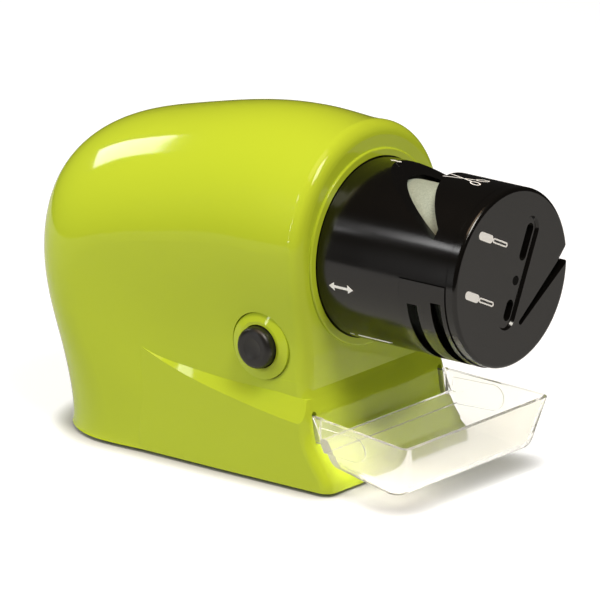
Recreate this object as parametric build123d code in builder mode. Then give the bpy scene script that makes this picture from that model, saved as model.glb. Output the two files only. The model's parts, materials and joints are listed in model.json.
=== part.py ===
from build123d import *
import os
from math import atan2, cos, degrees, hypot, radians, sin
from typing import NamedTuple

# Battery knife sharpener: a moulded housing with a motor inside it, a turning head that
# guides blades on to the grinding wheel, and a clear tray that catches the swarf.
# +X is the way the head points, +Z is up, the button is on the -Y side.
# The origin is under the middle of the sharpener, on the surface that it stands on.

os.makedirs("parts", exist_ok=True)

# Driving dimensions, in millimetres and degrees.

# Housing
housing_length = 126.2      # from the tail to the flat front
housing_height = 116.3      # from the base to the crest, without the feet
housing_half_width = 38.5
waist_half_width = housing_half_width - 3.5     # the sides are drawn in below the barrel
wall = 2.5
front_edge_radius = 4.5
foot_height = 1.2

# Head
head_reach = 57.8           # from the housing's front to the head's face
head_drop = 42.5            # from the housing's crest down to the head's axis
head_radius = 30.0
head_wall = 3.5
head_clock = 12.0           # the head rests turned a little to the far side
face_thickness = 3.9
seam_width = 0.15
face_rim_radius = 1.3

# Grinding wheel
drum_radius = 25.0
drum_thickness = 2.2
disc_thickness = 1.8
disc_gap = 2.5              # from the front disc to the inside of the face
arbor_radius = 3.0

# Motor
motor_radius = 13.9
motor_length = 38.0
motor_shaft_radius = 1.5
motor_front_gap = 14.2      # from the motor's face to the housing's front

# Power button
button_setback = 18.0       # from the housing's front
button_z = 46.0
button_radius = 7.0
button_travel = 2.5
bezel_radius = 11.3

# Batteries
cell_radius = 7.1
cell_length = 50.5
cell_count = 4
cell_gap = 0.6

# Catch tray
tray_wall = 1.6
tray_reach = 44.9           # from the housing's front to the tray's front, at its rim
tray_front_half_width = housing_half_width
tray_rear_half_width = waist_half_width + 0.2
tray_rim_rear_z = 25.6
tray_rim_front_z = 23.0
tray_floor_rear_z = 8.0
tray_floor_front_z = 4.3
tray_back_z = 18.7

# Fits
moulding_clearance = 0.2    # between mouldings that don't move on each other
running_clearance = 0.2     # round what turns
slide_clearance = 0.4       # round what slides
screw_clearance = 0.15
bearing_clearance = 0.05

# Places that follow from them.
front_x = (housing_length - head_reach) / 2
face_x = front_x + head_reach
inner_front_x = front_x - wall
base_z = foot_height
head_axis_z = base_z + housing_height - head_drop
seam_x = face_x - face_thickness
button_x = front_x - button_setback


def head_level(x):
    """The plane across the head's axis at x, with its origin on the axis."""
    return Plane(origin=(x, 0, head_axis_z), x_dir=(0, 1, 0), z_dir=(1, 0, 0))


def side_level(y):
    """The plane along the housing's side at y, with its origin at the button's centre."""
    return Plane(origin=(button_x, y, button_z), x_dir=(1, 0, 0), z_dir=(0, -1, 0))


# ---------------------------------------------------------------------------------------
# Housing form: sections that fan out from the foot of the flat front, over the crest and
# round the tail to the base. Each is a U with its legs at the front and a round end.


class FanSection(NamedTuple):
    """One section of the housing, all but its bulge as a share of the housing's size."""

    back: float     # how far back its end is
    up: float       # how high its end is
    tip: float      # length of its round end, by the housing's half-width
    widest: float   # half-width where its round end starts
    bulge: float    # how far it stands out beyond the waist, halfway, in millimetres


FAN = [
    FanSection(0.000, 1.000, 1.000, 1.000, 0.0),
    FanSection(0.162, 0.997, 1.013, 1.000, 0.1),
    FanSection(0.366, 0.985, 1.040, 1.000, 0.4),
    FanSection(0.582, 0.936, 1.065, 1.000, 0.8),
    FanSection(0.816, 0.856, 1.078, 1.000, 1.2),
    FanSection(0.955, 0.726, 0.961, 1.000, 1.4),
    FanSection(1.000, 0.531, 0.922, 0.997, 1.4),
    FanSection(0.975, 0.344, 0.935, 0.990, 1.3),
    FanSection(0.933, 0.179, 0.909, 0.977, 1.1),
    FanSection(0.912, 0.000, 0.860, 0.979, 1.0),
]
fan_root = 20.0             # the legs start this far from the foot of the front
waist_share = 0.6           # where along a leg the waist is held
root_overlap = 2.0


def housing_form(inset, edge_radius=0.0):
    """The housing's outer form, or the form that lies an inset inside it."""
    root_x = front_x - inset
    root_half_width = waist_half_width - inset
    with BuildPart() as form:
        for section in FAN:
            back = section.back * housing_length
            up = section.up * housing_height
            lean = atan2(back, up)
            reach = hypot(back, up) - inset * (1 + sin(lean))
            tip = section.tip * housing_half_width - inset
            widest = section.widest * housing_half_width - inset
            halfway = root_half_width + section.bulge
            shoulder = reach - tip
            level = Plane(origin=(root_x, 0, base_z), x_dir=(0, 1, 0), z_dir=(cos(lean), 0, sin(lean)))
            with BuildSketch(level):
                with BuildLine():
                    Line((-root_half_width, fan_root), (root_half_width, fan_root))
                    Spline(
                        (root_half_width, fan_root),
                        (halfway, waist_share * shoulder),
                        (widest, shoulder),
                        tangents=[(0, 1), (0, 1)],
                    )
                    EllipticalCenterArc((0, shoulder), widest, tip, start_angle=0, arc_size=180)
                    Spline(
                        (-widest, shoulder),
                        (-halfway, waist_share * shoulder),
                        (-root_half_width, fan_root),
                        tangents=[(0, -1), (0, -1)],
                    )
                make_face()
        loft()
        if edge_radius > 0:
            front = form.faces().filter_by(Plane.YZ).sort_by(Axis.X)[-1]
            fillet(front.edges(), edge_radius)
        with BuildSketch(Plane.XZ):
            with Locations((root_x, base_z)):
                Rectangle(
                    fan_root + root_overlap,
                    fan_root + edge_radius + root_overlap,
                    align=(Align.MAX, Align.MIN),
                )
        extrude(amount=root_half_width, both=True)
    return form.part


# Skirt: the proud foot of the housing, whose crease fades out towards the tail, and the
# flare under the head that the tray leans on. Both are measured from the housing's front.
front_side = Plane(origin=(front_x, 0, 0), x_dir=(1, 0, 0), z_dir=(0, -1, 0))
front_plan = Plane(origin=(front_x, 0, base_z), x_dir=(1, 0, 0), z_dir=(0, 0, 1))
skirt_half_width = housing_half_width - 0.7
skirt_corner_radius = 4.0
crease_start = (-67.2, 36.8)
crease_low = [(-46.2, 28.6), (-33.5, 26.2), (-13.3, 22.6), (3.3, 20.9)]
crease_high = [(-49.6, 34.9), (-37.0, 33.2), (-5.0, 31.1), (1.0, 30.6)]
skirt_rear_x = -84.0
skirt_plan = [
    (skirt_rear_x, skirt_half_width - 2.2),
    (crease_start[0], skirt_half_width - 0.6),
    (-33.0, skirt_half_width - 0.1),
]
flare_top = (-0.3, 36.0)
flare = [(2.4, 26.0), (4.0, 17.5), (10.6, 7.2), (12.2, 2.5)]
flare_inset = 0.1
shoulder_y = waist_half_width - flare_inset
flare_depth = 15.0
flare_side_radius = 4.0



def above_crease(y, crease):
    """The room above a crease line at y, from behind the crease to clear of the flare."""
    with BuildSketch(Plane(origin=(front_x, y, 0), x_dir=(1, 0, 0), z_dir=(0, -1, 0))) as room:
        with BuildLine():
            Spline(crease_start, *crease)
            Polyline(
                crease[-1],
                (skirt_half_width, crease[-1][1]),
                (skirt_half_width, skirt_half_width + crease_start[1]),
                (crease_start[0], skirt_half_width + crease_start[1]),
                crease_start,
            )
        make_face()
    return room.sketch


with BuildPart() as ledge_room:
    for direction in (1, -1):
        add(above_crease(direction * housing_half_width, crease_low))
        add(above_crease(direction * shoulder_y, crease_high))
        loft(ruled=True)

with BuildPart() as skirt:
    with BuildSketch(front_side):
        with BuildLine():
            Polyline(
                (flare[-1][0], base_z),
                (skirt_rear_x, base_z),
                (skirt_rear_x, crease_start[1]),
                crease_start,
                flare_top,
            )
            Spline(flare_top, *flare, tangents=[(0, -1), (0, -1)])
            Line(flare[-1], (flare[-1][0], base_z))
        make_face()
    extrude(amount=housing_half_width, both=True)
    with BuildSketch(front_plan):
        with BuildLine():
            Polyline(
                (skirt_rear_x, 0),
                *skirt_plan,
                (flare[-1][0], skirt_half_width),
                (flare[-1][0], 0),
            )
            mirror(about=Plane.XZ)
        make_face()
    extrude(amount=housing_height, mode=Mode.INTERSECT)
    corners = skirt.edges().filter_by(
        lambda e: e.center().X > front_x and abs(e.center().Y) > waist_half_width
    )
    fillet(corners.filter_by(lambda e: e.bounding_box().size.Z > 3 * wall), skirt_corner_radius)
    extrude(above_crease(0, crease_high), amount=shoulder_y, both=True, mode=Mode.SUBTRACT)
    add(ledge_room.part, mode=Mode.SUBTRACT)

with BuildPart() as flare_form:
    with BuildSketch(front_side):
        with BuildLine():
            Polyline(
                (flare[-1][0], base_z),
                (-flare_depth, base_z),
                (-flare_depth, flare_top[1]),
                flare_top,
            )
            Spline(flare_top, *flare, tangents=[(0, -1), (0, -1)])
            Line(flare[-1], (flare[-1][0], base_z))
        make_face()
    extrude(amount=shoulder_y, both=True)
    uprights = flare_form.edges().filter_by(lambda e: abs(e.center().Y) > wall and e.center().X >= front_x)
    fillet(uprights.filter_by(lambda e: e.bounding_box().size.Z > wall), flare_side_radius)

# ---------------------------------------------------------------------------------------
# Housing: the form hollowed from below, with the bore for the head, the lip round it, the
# button's hole, the tray's slots, and the posts and rails that carry what is inside.

head_bore_radius = head_radius + slide_clearance
lip_width = 2.6
lip_radius = head_bore_radius + lip_width
lip_height = 0.8
lip_edge_radius = 0.6

# Power button and switch
bezel_hole_radius = bezel_radius + moulding_clearance
side_y = -waist_half_width
inner_side_y = side_y + wall
bezel_bore_wall = 1.4        # flat ring left round the cap's hole
switch_width = 2 * (button_radius + bezel_bore_wall)
switch_height = 14.0
switch_depth = 10.0
switch_gap = 6.0
switch_y = inner_side_y + switch_gap

# Tray tabs and their slots
slot_skin = 0.6             # left between a slot and the housing's side
tab_height = (16.6, 25.2)
tab_length = 11.0
tab_front = 5.6
tab_outer_y = waist_half_width - slot_skin - slide_clearance
slot_y = tab_outer_y - tray_wall / 2
slot_length = tab_length + slide_clearance
slot_rear_x = front_x + tab_front - slot_length
slot_half_width = tray_wall / 2 + slide_clearance
slot_low_z = tab_height[0] - slide_clearance
slot_high_z = tab_height[1] + slide_clearance

# Base screws and their posts
screw_radius = 1.3
screw_head_radius = 2.6
screw_head_height = 1.5
screw_head_sink = 0.1
screw_length = 9.0
post_radius = 3.6
post_height = 12.0
post_web_thickness = 2.0
front_post = (front_x - 14.2, waist_half_width - 5.4)
rear_post = (front_x - 97.2, waist_half_width - 10.1)
front_web_reach = 4.6       # from the post's middle into the housing's wall
rear_web_reach = 7.0
posts = [(x, side * y) for x, y in (front_post, rear_post) for side in (1, -1)]
base_thickness = 2.4

# Motor bracket and the rails that hold it
motor_face_x = front_x - motor_front_gap
bracket_thickness = 3.0
bracket_low_z = head_axis_z - 9.0
bracket_high_z = head_axis_z + 9.0
bracket_corner_radius = 1.0
rail_thickness = 2.0
rail_inner_y = waist_half_width - 2.6
rail_outer_y = waist_half_width + 1.9
rail_low_z = head_axis_z - 6.0
rail_high_z = head_axis_z + 8.0
bracket_half_span = waist_half_width - 0.6

# Head carrier screws
carrier_screw_ring = head_radius + 2.1
carrier_screw_radius = 1.1
carrier_screw_length = 4.0
carrier_screw_count = 4
carrier_flange = 2.0
carrier_screw_head_radius = 1.9

hull = housing_form(0, front_edge_radius)
hollow = housing_form(wall)
base_room = housing_form(wall + moulding_clearance)

with BuildPart() as lip:
    with BuildSketch(head_level(front_x)):
        Circle(lip_radius)
    extrude(amount=lip_height)
    fillet(lip.faces().sort_by(Axis.X)[-1].edges(), lip_edge_radius)

with BuildPart() as housing:
    add(hull)
    add(skirt.part)
    add(flare_form.part)
    add(lip.part)
    add(hollow, mode=Mode.SUBTRACT)
    with BuildSketch(head_level(inner_front_x)):
        Circle(head_bore_radius)
        with PolarLocations(carrier_screw_ring, carrier_screw_count, start_angle=45):
            Circle(carrier_screw_radius)
    extrude(amount=carrier_screw_length - carrier_flange, mode=Mode.SUBTRACT)
    with BuildSketch(head_level(inner_front_x)):
        Circle(head_bore_radius)
    extrude(amount=wall + lip_height, mode=Mode.SUBTRACT)
    with BuildSketch(side_level(inner_side_y + wall)):
        Circle(bezel_hole_radius)
    extrude(amount=housing_half_width, mode=Mode.SUBTRACT)
    # tray slots, each with a round relief at its top
    with BuildSketch(Plane(origin=(slot_rear_x, 0, 0), x_dir=(0, 1, 0), z_dir=(1, 0, 0))):
        with Locations((slot_y, slot_low_z), (-slot_y, slot_low_z)):
            Rectangle(2 * slot_half_width, slot_high_z - slot_low_z, align=(Align.CENTER, Align.MIN))
        with Locations((slot_y, slot_high_z), (-slot_y, slot_high_z)):
            Circle(slot_half_width)
    extrude(amount=slot_length + flare[-1][0], mode=Mode.SUBTRACT)
    # screw posts for the base
    with BuildSketch(Plane.XY.offset(base_z + base_thickness + moulding_clearance)):
        with Locations(*posts):
            Circle(post_radius)
        for (x, y), web_reach in ((front_post, front_web_reach), (rear_post, rear_web_reach)):
            with Locations((x, y), (x, -y - web_reach)):
                Rectangle(post_web_thickness, web_reach, align=(Align.CENTER, Align.MIN))
    extrude(amount=post_height)
    with BuildSketch(Plane.XY.offset(base_z)):
        with Locations(*posts):
            Circle(screw_radius)
    extrude(amount=base_thickness + screw_length, mode=Mode.SUBTRACT)
    # rails for the motor bracket
    rail_reach = bracket_thickness / 2 + moulding_clearance + rail_thickness / 2
    rail_x = motor_face_x + bracket_thickness / 2
    for side in (1, -1):
        with Locations(
            *[(rail_x + step, side * rail_inner_y, rail_low_z) for step in (-rail_reach, rail_reach)]
        ):
            Box(
                rail_thickness,
                rail_outer_y - rail_inner_y,
                rail_high_z - rail_low_z,
                align=(Align.CENTER, Align.MIN if side > 0 else Align.MAX, Align.MIN),
            )

housing.part.label = "housing"
export_step(housing.part, "parts/housing.step")

# ---------------------------------------------------------------------------------------
# Base: the plate that closes the housing, the battery door in it, the screws and the feet.

battery_x = front_x - 63.2
door_margin = (7.5, 3.0)      # along and across, beyond the cells
door_length = cell_length + door_margin[0]
door_width = cell_count * 2 * cell_radius + (cell_count - 1) * cell_gap + door_margin[1]
door_lip = 1.6
door_lip_thickness = 1.0
door_corner_radius = 3.0
door_grip_length = 28.0
door_grip_inset = 14.0
door_grip_depth = 0.8
door_grip_width = 2.0
foot_radius = 5.0
foot_recess = 0.8
foot_edge_radius = 0.5
front_foot = (front_x - 10.2, 20.0)
rear_foot = (front_x - 101.7, 14.0)
feet_places = [(x, side * y) for x, y in (front_foot, rear_foot) for side in (1, -1)]

with BuildPart() as base_plate:
    add(base_room)
    with BuildSketch(Plane.XY.offset(base_z)):
        Rectangle(2 * housing_length, 2 * housing_length)
    extrude(amount=base_thickness, mode=Mode.INTERSECT)
    with BuildSketch(Plane.XY.offset(base_z)):
        with Locations((battery_x, 0)):
            RectangleRounded(door_length, door_width, door_corner_radius)
    extrude(amount=base_thickness, mode=Mode.SUBTRACT)
    with BuildSketch(Plane.XY.offset(base_z + base_thickness - door_lip_thickness)):
        with Locations((battery_x, 0)):
            RectangleRounded(door_length, door_width, door_corner_radius)
            Rectangle(door_length - 2 * door_lip, door_width - 2 * door_lip, mode=Mode.SUBTRACT)
    extrude(amount=door_lip_thickness)
    with BuildSketch(Plane.XY.offset(base_z)):
        with Locations(*feet_places):
            Circle(foot_radius + moulding_clearance)
    extrude(amount=foot_recess, mode=Mode.SUBTRACT)
    with Locations(*[(x, y, base_z) for x, y in posts]):
        Cylinder(
            screw_radius + screw_clearance,
            base_thickness,
            align=(Align.CENTER, Align.CENTER, Align.MIN),
            mode=Mode.SUBTRACT,
        )
        Cylinder(
            screw_head_radius + moulding_clearance,
            screw_head_height,
            align=(Align.CENTER, Align.CENTER, Align.MIN),
            mode=Mode.SUBTRACT,
        )

base_plate.part.label = "base_plate"
export_step(base_plate.part, "parts/base_plate.step")

door_thickness = base_thickness - door_lip_thickness - moulding_clearance

with BuildPart() as battery_door:
    with BuildSketch(Plane.XY.offset(base_z)):
        with Locations((battery_x, 0)):
            RectangleRounded(
                door_length - 2 * moulding_clearance,
                door_width - 2 * moulding_clearance,
                door_corner_radius - moulding_clearance,
            )
    extrude(amount=door_thickness)
    with BuildSketch(Plane.XY.offset(base_z)):
        with Locations((battery_x + door_length / 2 - door_grip_inset, 0)):
            SlotOverall(door_grip_length, door_grip_width, rotation=90)
    extrude(amount=door_grip_depth, mode=Mode.SUBTRACT)

battery_door.part.label = "battery_door"
export_step(battery_door.part, "parts/battery_door.step")

with BuildPart() as base_screws:
    for x, y in posts:
        with BuildSketch(Plane(origin=(x, y, base_z + screw_head_height), x_dir=(1, 0, 0), z_dir=(0, 0, -1))):
            Circle(screw_head_radius)
        extrude(amount=screw_head_height - screw_head_sink)
        with BuildSketch(Plane(origin=(x, y, base_z + screw_head_height), x_dir=(1, 0, 0), z_dir=(0, 0, 1))):
            Circle(screw_radius)
        extrude(amount=screw_length - screw_head_height)

base_screws.part.label = "base_screws"
export_step(base_screws.part, "parts/base_screws.step")

with BuildPart() as feet:
    with BuildSketch(Plane.XY):
        with Locations(*feet_places):
            Circle(foot_radius)
    extrude(amount=foot_height + foot_recess)
    fillet(feet.faces().group_by(Axis.Z)[0].edges(), foot_edge_radius)

feet.part.label = "feet"
export_step(feet.part, "parts/feet.step")

# ---------------------------------------------------------------------------------------
# Motor: a round can with its magnets, rotor, end cap and terminals, on a bracket that the
# rails of the housing hold.

can_wall = 1.2
magnet_thickness = 2.2
magnet_arc = 140.0
rotor_radius = 9.6
rotor_length = 22.0
rotor_slots = 5
rotor_slot_width = 2.0
end_cap_length = 4.0
motor_boss_radius = 5.0
motor_boss_height = 1.6
motor_screw_radius = 1.2
motor_screw_head_radius = 2.2
motor_screw_head_height = 1.2
motor_screw_length = 5.0
motor_screw_spread = 16.0
bracket_ring_radius = 19.0
terminal_size = (4.5, 0.6, 2.8)
terminal_spread = 18.0
can_length = motor_length - end_cap_length
can_rear_x = motor_face_x - can_length
motor_rear_x = motor_face_x - motor_length
rotor_x = can_rear_x + (can_length - rotor_length) / 2
coupling_length = 13.0
shaft_tail = 1.0
shaft_chamfer = 0.3
end_cap_inset = 0.6
end_cap_edge_radius = 0.8
shaft_front_x = motor_face_x + bracket_thickness + coupling_length

with BuildPart() as motor_can:
    with BuildSketch(head_level(can_rear_x)):
        Circle(motor_radius)
    extrude(amount=can_length)
    fillet(motor_can.faces().sort_by(Axis.X)[-1].edges(), can_wall)
    with BuildSketch(head_level(motor_face_x)):
        Circle(motor_boss_radius)
    extrude(amount=motor_boss_height)
    with BuildSketch(head_level(can_rear_x)):
        Circle(motor_radius - can_wall)
    extrude(amount=can_length - can_wall, mode=Mode.SUBTRACT)
    with BuildSketch(head_level(motor_face_x - can_wall)):
        Circle(motor_shaft_radius + running_clearance)
        with Locations((0, motor_screw_spread / 2), (0, -motor_screw_spread / 2)):
            Circle(motor_screw_radius)
    extrude(amount=can_wall + motor_boss_height, mode=Mode.SUBTRACT)

motor_can.part.label = "motor_can"
export_step(motor_can.part, "parts/motor_can.step")

magnet_gap = 2 * motor_radius * sin(radians((180 - magnet_arc) / 2))
with BuildPart() as motor_magnets:
    with BuildSketch(head_level(rotor_x)):
        Circle(motor_radius - can_wall)
        Circle(motor_radius - can_wall - magnet_thickness, mode=Mode.SUBTRACT)
        Rectangle(magnet_gap, 2 * motor_radius, mode=Mode.SUBTRACT)
    extrude(amount=rotor_length)

motor_magnets.part.label = "motor_magnets"
export_step(motor_magnets.part, "parts/motor_magnets.step")

with BuildPart() as motor_rotor:
    with BuildSketch(head_level(rotor_x)):
        Circle(rotor_radius)
        with PolarLocations(rotor_radius, rotor_slots):
            Rectangle(rotor_radius, rotor_slot_width, mode=Mode.SUBTRACT)
        Circle(motor_shaft_radius, mode=Mode.SUBTRACT)
    extrude(amount=rotor_length)

motor_rotor.part.label = "motor_rotor"
export_step(motor_rotor.part, "parts/motor_rotor.step")

with BuildPart() as motor_shaft:
    with BuildSketch(head_level(motor_rear_x - shaft_tail)):
        Circle(motor_shaft_radius)
    extrude(amount=shaft_front_x - motor_rear_x + shaft_tail)
    chamfer(motor_shaft.faces().sort_by(Axis.X)[-1].edges(), shaft_chamfer)

motor_shaft.part.label = "motor_shaft"
export_step(motor_shaft.part, "parts/motor_shaft.step")

with BuildPart() as motor_end_cap:
    with BuildSketch(head_level(motor_rear_x)):
        Circle(motor_radius - end_cap_inset)
    extrude(amount=end_cap_length)
    fillet(motor_end_cap.faces().sort_by(Axis.X)[0].edges(), end_cap_edge_radius)
    with BuildSketch(head_level(motor_rear_x)):
        Circle(motor_boss_radius)
    extrude(amount=-motor_boss_height / 2)
    with BuildSketch(head_level(motor_rear_x - motor_boss_height)):
        Circle(motor_shaft_radius + running_clearance)
    extrude(amount=end_cap_length + motor_boss_height, mode=Mode.SUBTRACT)

motor_end_cap.part.label = "motor_end_cap"
export_step(motor_end_cap.part, "parts/motor_end_cap.step")

with BuildPart() as motor_terminals:
    with Locations(
        *[(motor_rear_x, side * terminal_spread / 2, head_axis_z) for side in (1, -1)]
    ):
        Box(*terminal_size, align=(Align.MAX, Align.CENTER, Align.CENTER))

motor_terminals.part.label = "motor_terminals"
export_step(motor_terminals.part, "parts/motor_terminals.step")

with BuildPart() as motor_bracket:
    with BuildSketch(head_level(motor_face_x)):
        Circle(bracket_ring_radius)
        with Locations((0, (bracket_low_z + bracket_high_z) / 2 - head_axis_z)):
            RectangleRounded(2 * bracket_half_span, bracket_high_z - bracket_low_z, bracket_corner_radius)
        Circle(motor_boss_radius + moulding_clearance, mode=Mode.SUBTRACT)
        with Locations((0, motor_screw_spread / 2), (0, -motor_screw_spread / 2)):
            Circle(motor_screw_radius + screw_clearance, mode=Mode.SUBTRACT)
    extrude(amount=bracket_thickness)
    with BuildSketch(head_level(motor_face_x)):
        Circle(motor_radius + 2 * moulding_clearance + rail_thickness)
        Circle(motor_radius + moulding_clearance, mode=Mode.SUBTRACT)
    extrude(amount=-can_length / 4)

motor_bracket.part.label = "motor_bracket"
export_step(motor_bracket.part, "parts/motor_bracket.step")

with BuildPart() as motor_screws:
    with BuildSketch(head_level(motor_face_x + bracket_thickness)):
        with Locations((0, motor_screw_spread / 2), (0, -motor_screw_spread / 2)):
            Circle(motor_screw_head_radius)
    extrude(amount=motor_screw_head_height)
    with BuildSketch(head_level(motor_face_x + bracket_thickness)):
        with Locations((0, motor_screw_spread / 2), (0, -motor_screw_spread / 2)):
            Circle(motor_screw_radius)
    extrude(amount=-bracket_thickness - can_wall)

motor_screws.part.label = "motor_screws"
export_step(motor_screws.part, "parts/motor_screws.step")

# ---------------------------------------------------------------------------------------
# Head carrier: the fixed sleeve that the head turns on, with the bearing of the wheel's
# arbor in its web, the snap ring that keeps the head on, and its screws.

head_bore = head_radius - head_wall
sleeve_radius = head_bore - running_clearance
sleeve_wall = 2.4
sleeve_reach = 12.8
flange_radius = head_radius + 4.0
web_thickness = 3.0
bearing_radius = 6.5
bearing_width = 5.0
bearing_rear_gap = 5.8
hub_wall = 2.5
ring_groove_gap = 9.4
ring_width = 1.0
ring_grip = 0.9
ring_reach = 0.7
ring_gap_angle = 40.0
web_hole_radius = 3.4
web_hole_count = 6
flange_x = inner_front_x - carrier_flange
sleeve_front_x = front_x + sleeve_reach
bearing_x = front_x + bearing_rear_gap
ring_x = front_x + ring_groove_gap

with BuildPart() as head_carrier:
    with BuildSketch(head_level(flange_x)):
        Circle(flange_radius)
        Circle(sleeve_radius - sleeve_wall, mode=Mode.SUBTRACT)
        with PolarLocations(carrier_screw_ring, carrier_screw_count, start_angle=45):
            Circle(carrier_screw_radius + screw_clearance, mode=Mode.SUBTRACT)
    extrude(amount=carrier_flange)
    with BuildSketch(head_level(flange_x)):
        Circle(sleeve_radius)
        Circle(sleeve_radius - sleeve_wall, mode=Mode.SUBTRACT)
    extrude(amount=sleeve_front_x - flange_x)
    with BuildSketch(head_level(bearing_x + (bearing_width - web_thickness) / 2)):
        Circle(sleeve_radius - sleeve_wall / 2)
        with PolarLocations((sleeve_radius + bearing_radius) / 2, web_hole_count):
            Circle(web_hole_radius, mode=Mode.SUBTRACT)
    extrude(amount=web_thickness)
    with BuildSketch(head_level(bearing_x)):
        Circle(bearing_radius + hub_wall)
    extrude(amount=bearing_width)
    with BuildSketch(head_level(bearing_x)):
        Circle(bearing_radius)
    extrude(amount=bearing_width, mode=Mode.SUBTRACT)
    with BuildSketch(head_level(ring_x - slide_clearance / 2)):
        Circle(sleeve_radius + ring_reach)
        Circle(sleeve_radius - ring_grip - running_clearance, mode=Mode.SUBTRACT)
    extrude(amount=ring_width + slide_clearance, mode=Mode.SUBTRACT)

head_carrier.part.label = "head_carrier"
export_step(head_carrier.part, "parts/head_carrier.step")

with BuildPart() as carrier_screws:
    with BuildSketch(head_level(flange_x)):
        with PolarLocations(carrier_screw_ring, carrier_screw_count, start_angle=45):
            Circle(carrier_screw_radius)
    extrude(amount=carrier_screw_length)
    with BuildSketch(head_level(flange_x)):
        with PolarLocations(carrier_screw_ring, carrier_screw_count, start_angle=45):
            Circle(carrier_screw_head_radius)
    extrude(amount=-carrier_screw_radius)

carrier_screws.part.label = "carrier_screws"
export_step(carrier_screws.part, "parts/carrier_screws.step")

with BuildPart() as snap_ring:
    with BuildSketch(head_level(ring_x)):
        Circle(sleeve_radius + ring_reach)
        Circle(sleeve_radius - ring_grip, mode=Mode.SUBTRACT)
        with Locations((0, -sleeve_radius)):
            Rectangle(2 * sleeve_radius * sin(radians(ring_gap_angle / 2)), sleeve_radius, mode=Mode.SUBTRACT)
    extrude(amount=ring_width)

snap_ring.part.label = "snap_ring"
export_step(snap_ring.part, "parts/snap_ring.step")

# The bearing's races and shield are one piece that stands still; the arbor turns in it.
with BuildPart() as arbor_bearing:
    with BuildSketch(head_level(bearing_x)):
        Circle(bearing_radius)
        Circle(arbor_radius + bearing_clearance, mode=Mode.SUBTRACT)
    extrude(amount=bearing_width)

arbor_bearing.part.label = "arbor_bearing"
export_step(arbor_bearing.part, "parts/arbor_bearing.step")

# ---------------------------------------------------------------------------------------
# Grinding wheel: the arbor on the motor's shaft, a moulded hub, the drum whose rim grinds
# blades, the disc on its end that grinds tips, and the screw and washer that hold them.

washer_radius = 6.5
washer_thickness = 0.6
wheel_screw_head_radius = 4.0
wheel_screw_head_height = 1.3
wheel_screw_radius = 1.3
wheel_screw_length = 9.0
hub_bore_wall = 3.0
hub_rim_thickness = 2.2
hub_web_thickness = 3.0
hub_web_setback = 6.0
hub_hole_count = 5
hub_hole_radius = 4.6
socket_radius = 4.2
socket_depth = 9.0
drum_edge = 0.5
disc_seat_gap = 0.2
drum_rear_gap = 1.0         # from the carrier's sleeve to the drum
coupling_gap = 0.8
bearing_gap = 0.5
wheel_screw_edge_radius = 0.5
wheel_screw_cross = (1.2, 0.9, 4.6)
disc_front_x = seam_x - disc_gap
disc_rear_x = disc_front_x - disc_thickness
drum_front_x = disc_rear_x - disc_seat_gap
drum_rear_x = sleeve_front_x + drum_rear_gap
hub_radius = drum_radius - drum_thickness
socket_rear_x = motor_face_x + bracket_thickness + motor_screw_head_height + coupling_gap
socket_front_x = bearing_x - bearing_gap

with BuildPart() as wheel_arbor:
    with BuildSketch(head_level(socket_rear_x)):
        Circle(socket_radius)
    extrude(amount=socket_front_x - socket_rear_x)
    with BuildSketch(head_level(socket_front_x)):
        Circle(arbor_radius)
    extrude(amount=disc_front_x - socket_front_x)
    with BuildSketch(head_level(socket_rear_x)):
        Circle(motor_shaft_radius)
    extrude(amount=shaft_front_x - socket_rear_x, mode=Mode.SUBTRACT)
    with BuildSketch(head_level(disc_front_x)):
        Circle(wheel_screw_radius)
    extrude(amount=-wheel_screw_length, mode=Mode.SUBTRACT)

wheel_arbor.part.label = "wheel_arbor"
export_step(wheel_arbor.part, "parts/wheel_arbor.step")

with BuildPart() as wheel_hub:
    with BuildSketch(head_level(drum_rear_x)):
        Circle(hub_radius)
        Circle(hub_radius - hub_rim_thickness, mode=Mode.SUBTRACT)
        Circle(arbor_radius + hub_bore_wall)
        Circle(arbor_radius, mode=Mode.SUBTRACT)
    extrude(amount=disc_rear_x - drum_rear_x)
    with BuildSketch(head_level(drum_rear_x + hub_web_setback)):
        Circle(hub_radius - hub_rim_thickness / 2)
        Circle(arbor_radius + hub_bore_wall / 2, mode=Mode.SUBTRACT)
        with PolarLocations((hub_radius + arbor_radius) / 2, hub_hole_count):
            Circle(hub_hole_radius, mode=Mode.SUBTRACT)
    extrude(amount=hub_web_thickness)

wheel_hub.part.label = "wheel_hub"
export_step(wheel_hub.part, "parts/wheel_hub.step")

with BuildPart() as grinding_drum:
    with BuildSketch(head_level(drum_rear_x)):
        Circle(drum_radius)
        Circle(hub_radius, mode=Mode.SUBTRACT)
    extrude(amount=drum_front_x - drum_rear_x)
    rims = grinding_drum.edges().filter_by(GeomType.CIRCLE)
    chamfer(rims.filter_by(lambda rim: rim.radius > hub_radius + drum_edge), drum_edge)

grinding_drum.part.label = "grinding_drum"
export_step(grinding_drum.part, "parts/grinding_drum.step")

with BuildPart() as grinding_disc:
    with BuildSketch(head_level(disc_rear_x)):
        Circle(drum_radius - drum_edge)
        Circle(arbor_radius, mode=Mode.SUBTRACT)
    extrude(amount=disc_thickness)
    chamfer(grinding_disc.faces().sort_by(Axis.X)[-1].edges().sort_by(SortBy.RADIUS)[-1], drum_edge)

grinding_disc.part.label = "grinding_disc"
export_step(grinding_disc.part, "parts/grinding_disc.step")

with BuildPart() as wheel_washer:
    with BuildSketch(head_level(disc_front_x)):
        Circle(washer_radius)
        Circle(wheel_screw_radius, mode=Mode.SUBTRACT)
    extrude(amount=washer_thickness)

wheel_washer.part.label = "wheel_washer"
export_step(wheel_washer.part, "parts/wheel_washer.step")

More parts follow.
